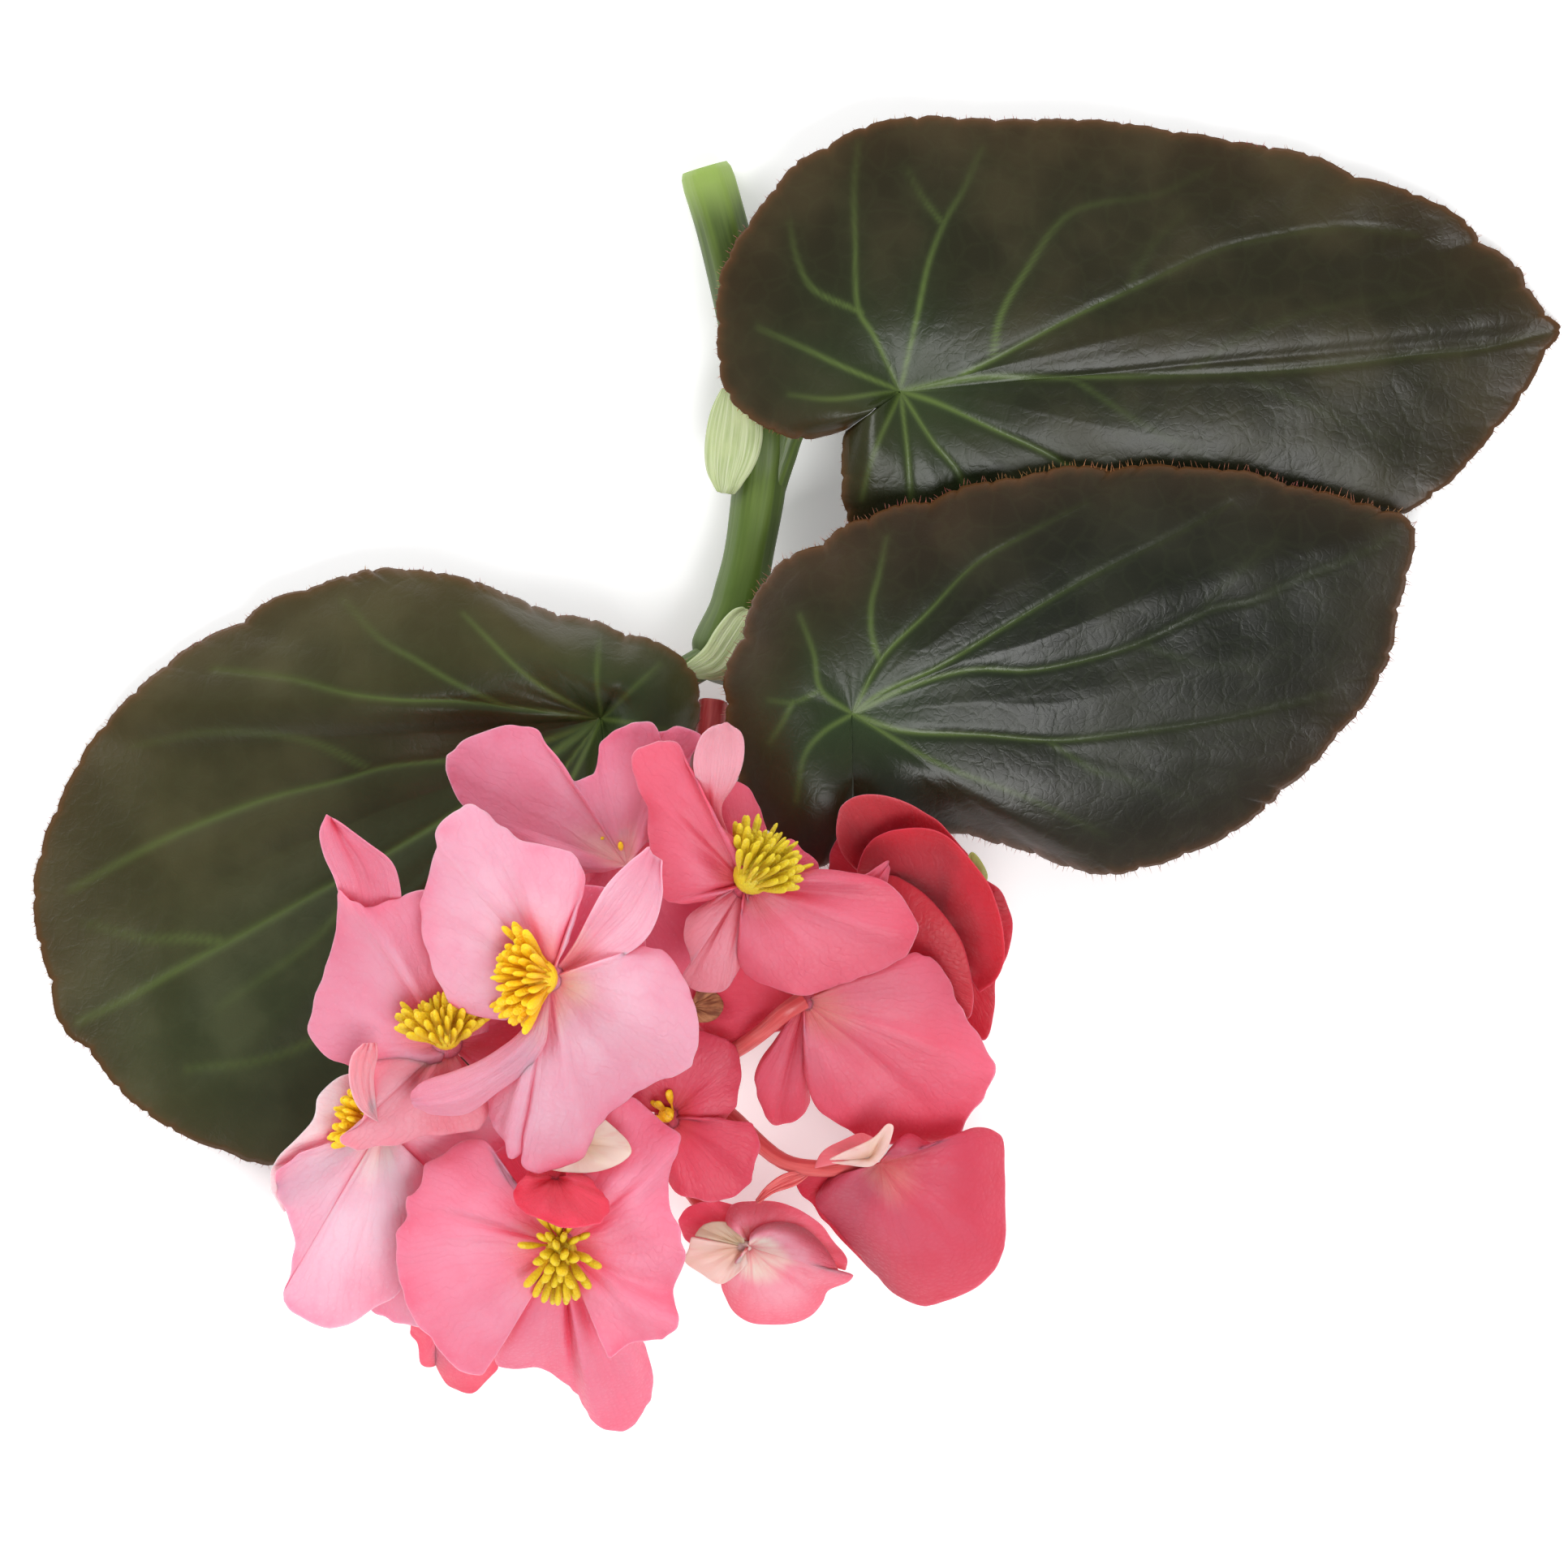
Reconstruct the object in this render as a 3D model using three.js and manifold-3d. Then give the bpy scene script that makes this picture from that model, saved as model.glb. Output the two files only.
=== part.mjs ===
// A cut begonia stem lying on a surface: a jointed green stem, three bronze leaves on their
// stalks, two papery stipules and a head of pink blooms on red stalks.
// Millimetres, +Z up. The origin is on the surface, under the middle of the whole thing.
import * as THREE from 'three';
import { mergeVertices } from 'three/addons/utils/BufferGeometryUtils.js';
import Module from 'manifold-3d';

// Driving dimensions
const LEAF_THICK = 0.9;
const PETAL_THICK = 0.7;
const STIPULE_THICK = 0.7;
const CLEAR = 0.35; // gap kept between pieces that meet
const STEM_SIDES = 10;
const LEAF_STALK_SIDES = 6;
const STALK_SIDES = 5;
const STEM_RADIUS = 3.9;
const LEAF_STALK_RADIUS = 2.4;
const FLOWER_STALK_RADIUS = 2.2;
const PEDICEL_RADIUS = 1.2;
const HEART_RADIUS = 2.8; // the solid heart that a bloom's petals grow from
const LEAF_ROWS = 5;
const PETAL_ROWS = 3;
const SMALL_RIM = 10; // a petal with fewer rim points than this has a row less
const TOOTH = 0.7; // how far a leaf's rounded teeth stand out
const QUILT = 1.2; // how far the leaf stands up between its veins
const ANTHER_RADIUS = 0.75;
const ANTHER_SIDES = 4;
const GOLDEN_ANGLE = 2.39996;

const wasm = await Module();
wasm.setup();

const part = new THREE.Group();

// ---------------------------------------------------------------- solids and meshes

function vec(p) {
  return new THREE.Vector3(p[0], p[1], p[2]);
}

// One closed mesh from points and triangles, as a solid with its faces pointing out
function solid(points, triangles) {
  let volume = 0;
  for (const [a, b, c] of triangles) {
    volume += points[a].dot(new THREE.Vector3().crossVectors(points[b], points[c]));
  }
  const turned = volume > 0 ? triangles : triangles.map(([a, b, c]) => [a, c, b]);
  const vertProperties = new Float32Array(points.flatMap((p) => [p.x, p.y, p.z]));
  const triVerts = new Uint32Array(turned.flat());
  return new wasm.Manifold(new wasm.Mesh({ numProp: 3, vertProperties, triVerts }));
}

function solidOf(geometry) {
  const bare = geometry.index ? geometry.toNonIndexed() : geometry.clone();
  bare.deleteAttribute('normal');
  bare.deleteAttribute('uv');
  const merged = mergeVertices(bare, 1e-4);
  const points = [];
  for (let i = 0; i < merged.attributes.position.count; i += 1) {
    points.push(new THREE.Vector3().fromBufferAttribute(merged.attributes.position, i));
  }
  const triangles = [];
  for (let i = 0; i < merged.index.count; i += 3) {
    const corner = [0, 1, 2].map((k) => merged.index.getX(i + k));
    if (new Set(corner).size === 3) triangles.push(corner);
  }
  return solid(points, triangles);
}

function join(solids) {
  return solids.reduce((all, next) => all.add(next));
}

// The largest body of a solid that a cut may have left in pieces
function largest(whole) {
  const bodies = whole.decompose();
  return bodies.reduce((best, body) => (body.volume() > best.volume() ? body : best));
}

function place(name, shape, { color, roughness = 0.55 }) {
  const mesh = shape.getMesh();
  const geometry = new THREE.BufferGeometry();
  const positions = new Float32Array(mesh.numVert * 3);
  for (let i = 0; i < mesh.numVert; i += 1) {
    for (let k = 0; k < 3; k += 1) positions[i * 3 + k] = mesh.vertProperties[i * mesh.numProp + k];
  }
  geometry.setAttribute('position', new THREE.BufferAttribute(positions, 3));
  geometry.setIndex(new THREE.BufferAttribute(Uint32Array.from(mesh.triVerts), 1));
  geometry.computeVertexNormals();
  const material = new THREE.MeshStandardMaterial({ color, roughness, metalness: 0 });
  const node = new THREE.Mesh(geometry, material);
  node.name = name;
  part.add(node);
}

// ---------------------------------------------------------------- blades: leaves and petals

// A blade is a fan of rays from its heart to its rim, cut into rows, and as thick as thick.
// rim lists the points of the free edge in order round the heart; bow lifts the middle of
// each ray; teeth puts a rounded tooth on each stretch of rim; veins are the bearings, in
// degrees from the heart, where a quilted leaf stays low. Where a blade meets the surface
// that it lies on, it is pressed flat.
function blade({ heart, rim, bow = 0, rows = PETAL_ROWS, thick = PETAL_THICK, teeth = 0, veins = [] }) {
  const root = vec(heart);
  const edge = rim.map(vec);
  const columns = edge.length - 1;
  const sheet = [root.clone()];
  for (let row = 1; row <= rows; row += 1) {
    const t = row / rows;
    for (const point of edge) {
      const spot = root.clone().lerp(point, t);
      spot.z += bow * 4 * t * (1 - t) + QUILT * between(veins, root, point) * Math.sin(Math.PI * t * 0.85);
      sheet.push(spot);
    }
  }
  const at = (row, column) => (row === 0 ? 0 : 1 + (row - 1) * (columns + 1) + column);
  const faces = [];
  const border = [];
  for (let row = 0; row < rows; row += 1) border.push(at(row, 0));
  for (let column = 0; column < columns; column += 1) {
    faces.push([0, at(1, column), at(1, column + 1)]);
    for (let row = 1; row < rows; row += 1) {
      const corners = [at(row, column), at(row + 1, column), at(row + 1, column + 1), at(row, column + 1)];
      const onRim = row + 1 === rows;
      let tip = null;
      if (onRim && teeth > 0) {
        tip = sheet.length;
        sheet.push(tooth(root, sheet[corners[1]], sheet[corners[2]], teeth));
      }
      faces.push(...paved(corners, tip));
      if (onRim) border.push(corners[1]);
      if (tip !== null) border.push(tip);
    }
  }
  for (let row = rows; row > 0; row -= 1) border.push(at(row, columns));
  return thicken(sheet, faces, thick, border);
}

// The tip of the rounded tooth that stands on a stretch of rim
function tooth(root, start, end, teeth) {
  const middle = start.clone().lerp(end, 0.5);
  const out = new THREE.Vector3(end.y - start.y, start.x - end.x, 0).normalize();
  return middle.addScaledVector(out, out.dot(middle.clone().sub(root)) < 0 ? -teeth : teeth);
}

// A four-cornered patch in triangles, and with a tip standing on its outer side if it has one
function paved([inner, outer, outerNext, innerNext], tip) {
  if (tip === null) return [[inner, outer, outerNext], [inner, outerNext, innerNext]];
  return [[inner, outer, tip], [inner, tip, innerNext], [innerNext, tip, outerNext]];
}

// How high a quilted leaf stands at a bearing: 0 on a vein, 1 midway between two
function between(veins, root, point) {
  if (veins.length < 2) return 0;
  const bearing = THREE.MathUtils.radToDeg(Math.atan2(point.y - root.y, point.x - root.x));
  for (let i = 1; i < veins.length; i += 1) {
    const turn = THREE.MathUtils.euclideanModulo(bearing - veins[i - 1], 360);
    const width = veins[i] - veins[i - 1];
    if (turn <= width) return Math.sin((Math.PI * turn) / width);
  }
  return 0;
}

// A strap is a blade that isn't a fan: rows of [one side, other side] lead from the heart to
// its tip, so it can curve sideways. bow lifts its middle line.
function strap({ heart, rows, bow = 0, thick = PETAL_THICK }) {
  const sheet = [vec(heart)];
  const faces = [];
  rows.forEach(([one, other], i) => {
    const [a, b] = [vec(one), vec(other)];
    const middle = a.clone().lerp(b, 0.5);
    middle.z += i + 1 === rows.length ? bow / 2 : bow;
    sheet.push(a, middle, b);
    const k = 1 + 3 * i;
    if (i === 0) {
      faces.push([0, 1, 2], [0, 2, 3]);
    } else {
      faces.push([k - 3, k, k + 1], [k - 3, k + 1, k - 2], [k - 2, k + 1, k + 2], [k - 2, k + 2, k - 1]);
    }
  });
  const oneSide = rows.map((row, i) => 1 + 3 * i);
  const otherSide = rows.map((row, i) => 3 + 3 * i).reverse();
  return thicken(sheet, faces, thick, [0, ...oneSide, oneSide.at(-1) + 1, ...otherSide]);
}

// A sheet of faces given its thickness, closed round its border
function thicken(sheet, faces, thick, border) {
  const normals = sheet.map(() => new THREE.Vector3());
  for (const [a, b, c] of faces) {
    const across = sheet[b].clone().sub(sheet[a]).cross(sheet[c].clone().sub(sheet[a]));
    for (const corner of [a, b, c]) normals[corner].add(across);
  }
  const upwards = normals.reduce((sum, normal) => sum + normal.z, 0) >= 0 ? 1 : -1;
  const half = (upwards * thick) / 2;
  const upper = sheet.map((p, i) => p.clone().addScaledVector(normals[i].normalize(), half));
  const lower = sheet.map((p, i) => p.clone().addScaledVector(normals[i], -half));
  upper.forEach((p) => { p.z = Math.max(p.z, thick); });
  lower.forEach((p) => { p.z = Math.max(p.z, 0); });
  const under = sheet.length;
  const triangles = [];
  for (const [a, b, c] of faces) {
    triangles.push([a, b, c], [a + under, c + under, b + under]);
  }
  border.forEach((a, i) => {
    const b = border[(i + 1) % border.length];
    triangles.push([a, a + under, b + under], [a, b + under, b]);
  });
  return solid([...upper, ...lower], triangles);
}

// ---------------------------------------------------------------- limbs: stems and stalks

// A limb is a round stalk along a smooth line through spots of [x, y, z, radius]
function limb(spots, sides, rings = 2) {
  const line = new THREE.CatmullRomCurve3(spots.map(vec), false, 'centripetal');
  const steps = (spots.length - 1) * rings;
  const points = [];
  let side = new THREE.Vector3(0, 0, 1);
  for (let step = 0; step <= steps; step += 1) {
    const along = step / steps;
    const centre = line.getPoint(along);
    const tangent = line.getTangent(along);
    side = side.clone().addScaledVector(tangent, -side.dot(tangent)).normalize();
    const across = tangent.clone().cross(side);
    const slot = Math.min(spots.length - 2, Math.floor(along * (spots.length - 1)));
    const share = along * (spots.length - 1) - slot;
    const radius = THREE.MathUtils.lerp(spots[slot][3], spots[slot + 1][3], share);
    for (let k = 0; k < sides; k += 1) {
      const turn = (2 * Math.PI * k) / sides;
      points.push(centre.clone()
        .addScaledVector(side, radius * Math.cos(turn))
        .addScaledVector(across, radius * Math.sin(turn)));
    }
  }
  const triangles = [];
  for (let step = 0; step < steps; step += 1) {
    for (let k = 0; k < sides; k += 1) {
      const a = step * sides + k;
      const b = step * sides + ((k + 1) % sides);
      triangles.push([a, b, b + sides], [a, b + sides, a + sides]);
    }
  }
  const last = steps * sides;
  for (let k = 1; k < sides - 1; k += 1) {
    triangles.push([0, k + 1, k], [last, last + k, last + k + 1]);
  }
  return solid(points, triangles);
}

// ---------------------------------------------------------------- stem, leaf stalks, stipules

const CUT_END = [-13.5, 88.5, 4];
const NODE_1 = [-5, 50, 6.5];
const NODE_2 = [-10.5, 18, 9.5];

const mainStem = limb([
  [...CUT_END, STEM_RADIUS],
  [-11, 80, 4.1, STEM_RADIUS - 0.1],
  [-8.5, 70, 4.4, STEM_RADIUS],
  [-6.5, 60, 5.4, STEM_RADIUS],
  [...NODE_1, STEM_RADIUS + 0.7],
  [-5.5, 42, 7, STEM_RADIUS],
  [-7, 32, 7.8, STEM_RADIUS - 0.3],
  [-8.5, 25, 8.6, STEM_RADIUS],
  [...NODE_2, STEM_RADIUS + 1],
  [-12, 13.5, 10.2, STEM_RADIUS - 1],
], STEM_SIDES, 2);

// Each leaf stalk ends in the middle of its leaf, just under the blade
const UPPER_HEART = [15, 55.5, 13.6];
const MIDDLE_HEART = [8, 8.5, 24.5];
const LEFT_HEART = [-28.5, 8, 18.5];
const leafStalks = [
  [[-4.5, 40, 7], [-2.6, 46, 7.8], [-0.5, 51, 8.6], [6, 55, 10], UPPER_HEART],
  [[-9, 19, 10.5], [-4, 15.5, 14], [3, 11, 19], MIDDLE_HEART],
  [[-12, 17, 10.5], [-18, 13.5, 12], [-24, 10, 14.4], LEFT_HEART],
].map((line) => limb(line.map(([x, y, z], i) => {
  const last = i === line.length - 1;
  const reach = LEAF_STALK_RADIUS * (last ? 0.8 : 1);
  const below = last ? reach + LEAF_THICK / 2 + CLEAR : 0;
  return [x, y, z - below, reach];
}), LEAF_STALK_SIDES, 2));
place('stem', join([mainStem, ...leafStalks]), { color: 0x86a850 });

place('stipule_upper', blade({
  heart: [-6.5, 51, 11.8],
  rim: [
    [-8, 56, 10.6], [-11, 56, 9.8], [-12.5, 53, 9.4], [-13.5, 47, 9], [-13, 43.5, 9], [-11.5, 41, 9.6],
    [-9.5, 40.5, 11], [-8, 41.5, 11.7], [-6.3, 45, 12], [-4.5, 49.5, 12],
  ],
  bow: 0.3,
  thick: STIPULE_THICK,
}), { color: 0xc6d6a4 });

place('stipule_lower', blade({
  heart: [-9, 18, 15.4],
  rim: [
    [-11, 13.5, 14.8], [-15.5, 14, 15.3], [-16.5, 15.5, 15.4], [-14, 17.5, 14.8], [-12.5, 19, 14.4],
    [-11.5, 21.5, 14], [-10, 23.3, 13.8], [-7, 24, 14], [-6, 23, 14],
  ],
  bow: 0.3,
  thick: STIPULE_THICK,
}), { color: 0xbfd09c });

// ---------------------------------------------------------------- leaves

// Each leaf is a lopsided heart with a narrow slit down to its stalk. The rim runs from one
// side of the slit to the other, a point for every notch between two teeth.
const LEAVES = {
  leaf_upper: {
    color: 0x383527,
    heart: UPPER_HEART,
    bow: 2.5,
    veins: [-195, -160, -130, -90, -70, -38, 4, 28, 55, 82, 106, 133, 158],
    rim: [
      [7.5, 50.5, 13.5], [0.5, 49.2, 13.8], [-3.5, 50.2, 14], [-7, 52.3, 13.8], [-9.7, 55.2, 13.6], [-11, 60, 13.4],
      [-11.2, 65.5, 13], [-11, 71, 12.6], [-9.7, 75, 12.2], [-7, 79.5, 11.6], [-3, 85, 11], [0, 88.5, 10.5],
      [4.5, 91, 10], [10, 94, 9.5], [17.5, 95.4, 9], [23.5, 95.2, 8.6], [29, 95, 8.2], [35, 95, 8],
      [41, 95, 7.6], [47.5, 94.5, 7.2], [55, 93.4, 6.8], [63.5, 92, 6.4], [69, 91, 6.2], [74.7, 90, 6],
      [81.5, 87, 5.4], [90, 84.5, 4.6], [98, 80, 3.6], [99.5, 77.5, 3.4], [105, 74, 2.6], [106.5, 71, 2.2],
      [109.5, 67, 1.2], [111.5, 64.8, 0], [109.5, 62, 0.8], [106, 55.5, 1], [102, 50.5, 1.4], [98, 45.5, 1.8],
      [93, 41, 2.2], [88, 38, 2.6], [79, 35.5, 3.2], [70, 33, 3.8], [60, 31, 4.4], [50, 29, 5],
      [40, 28, 5.8], [30, 27.5, 6.8], [22, 28.5, 8], [15, 30.5, 9], [9.5, 34, 10.2], [7.5, 38, 11],
      [7, 43, 12], [7.3, 49.7, 13.3],
    ],
  },
  leaf_middle: {
    color: 0x37301f,
    heart: MIDDLE_HEART,
    bow: 3.5,
    veins: [-225, -180, -140, -65, -38, -3, 20, 36, 64, 103, 135],
    rim: [
      [8.2, -9, 21], [4.5, -13, 21], [-0.5, -12.5, 21.5], [-4, -8.5, 22], [-7, -4.4, 22], [-8.2, -0.7, 22],
      [-9.3, 5, 22], [-9.9, 10, 22], [-9.9, 15, 21.6], [-7.5, 19.5, 21.4], [-6.4, 24.2, 21], [-4.3, 27.5, 20.5],
      [-1, 31, 20], [4, 33, 19.4], [7, 35.5, 19], [10.5, 36.7, 18.6], [15, 38.6, 18], [19.5, 39, 17.5],
      [23.5, 41, 17], [28.5, 42, 16.6], [32.5, 42.6, 16], [36.6, 43.6, 15.4], [41, 44.4, 15], [45.5, 43.8, 14.4],
      [50, 44.4, 14], [55.7, 44.2, 13.4], [62, 43.8, 12.6], [68, 43, 12], [71.5, 41.6, 11.4], [76, 40.8, 10.6],
      [81.5, 39.2, 9.6], [85.5, 38, 8.8], [89.6, 36.2, 7.6], [88.8, 29, 6.6], [87.5, 24, 6.2], [86.4, 17.5, 5.8],
      [85, 14.5, 5.6], [81.8, 9, 5.6], [78.8, 6, 5.8], [75, 1.2, 6], [70.5, -2.3, 6.2], [68.5, -4.5, 6.4],
      [63.2, -8.5, 6.8], [56.5, -11.6, 7.4], [50, -13.6, 8], [45.7, -14.4, 8.6], [40, -13.4, 9.6], [35, -11.5, 11],
      [30, -10, 12.5], [25, -8.6, 14], [20, -8.5, 15.5], [14.5, -10, 17.5], [8.9, -10, 20],
    ],
  },
  leaf_left: {
    color: 0x444630,
    heart: LEFT_HEART,
    bow: 4.5,
    veins: [-125, -100, -70, -20, 20, 90, 135, 176, 194, 213, 235],
    rim: [
      [-27, -3, 18.5], [-22, -4.5, 19], [-18, -1, 19], [-15.6, 5, 19], [-14.6, 10.5, 19], [-16, 15.2, 18.8],
      [-21, 18.8, 18.2], [-25, 19.6, 17.8], [-30, 21.8, 17], [-35, 22.6, 16], [-38.8, 24, 15], [-43, 25.7, 14],
      [-47.2, 27.5, 12.8], [-52.7, 28.7, 11.4], [-57, 29.2, 10.2], [-62, 29.2, 9], [-65.5, 28.4, 8], [-71.5, 26.4, 7],
      [-77.5, 24.6, 6], [-80.6, 21.8, 5.4], [-87, 19, 4.4], [-92, 15.4, 3.6], [-96.5, 11.6, 3], [-101, 7, 0],
      [-105, 1.3, -5], [-108.2, -5.7, -8], [-110.6, -12, -10], [-111.5, -18.2, -10], [-110.6, -25, -10],
      [-109, -30.5, -10], [-107.5, -37, -9], [-103.5, -40.4, -7], [-99.2, -46, -4], [-95, -49.5, -2], [-91.5, -51.8, 0],
      [-84, -55, 2],
      [-76.4, -57.3, 3.4], [-70, -57, 5], [-62, -55, 6.8], [-55, -51.5, 8.6], [-48, -46.5, 10.2], [-42, -40, 11.8],
      [-37, -32, 13.4], [-33.5, -23, 15], [-31, -13, 16.6], [-29.5, -5, 17.8],
    ],
  },
};
for (const [name, { color, ...leaf }] of Object.entries(LEAVES)) {
  place(name, blade({ ...leaf, rows: LEAF_ROWS, thick: LEAF_THICK, teeth: TOOTH }), { color, roughness: 0.4 });
}

// ---------------------------------------------------------------- blooms

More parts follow.
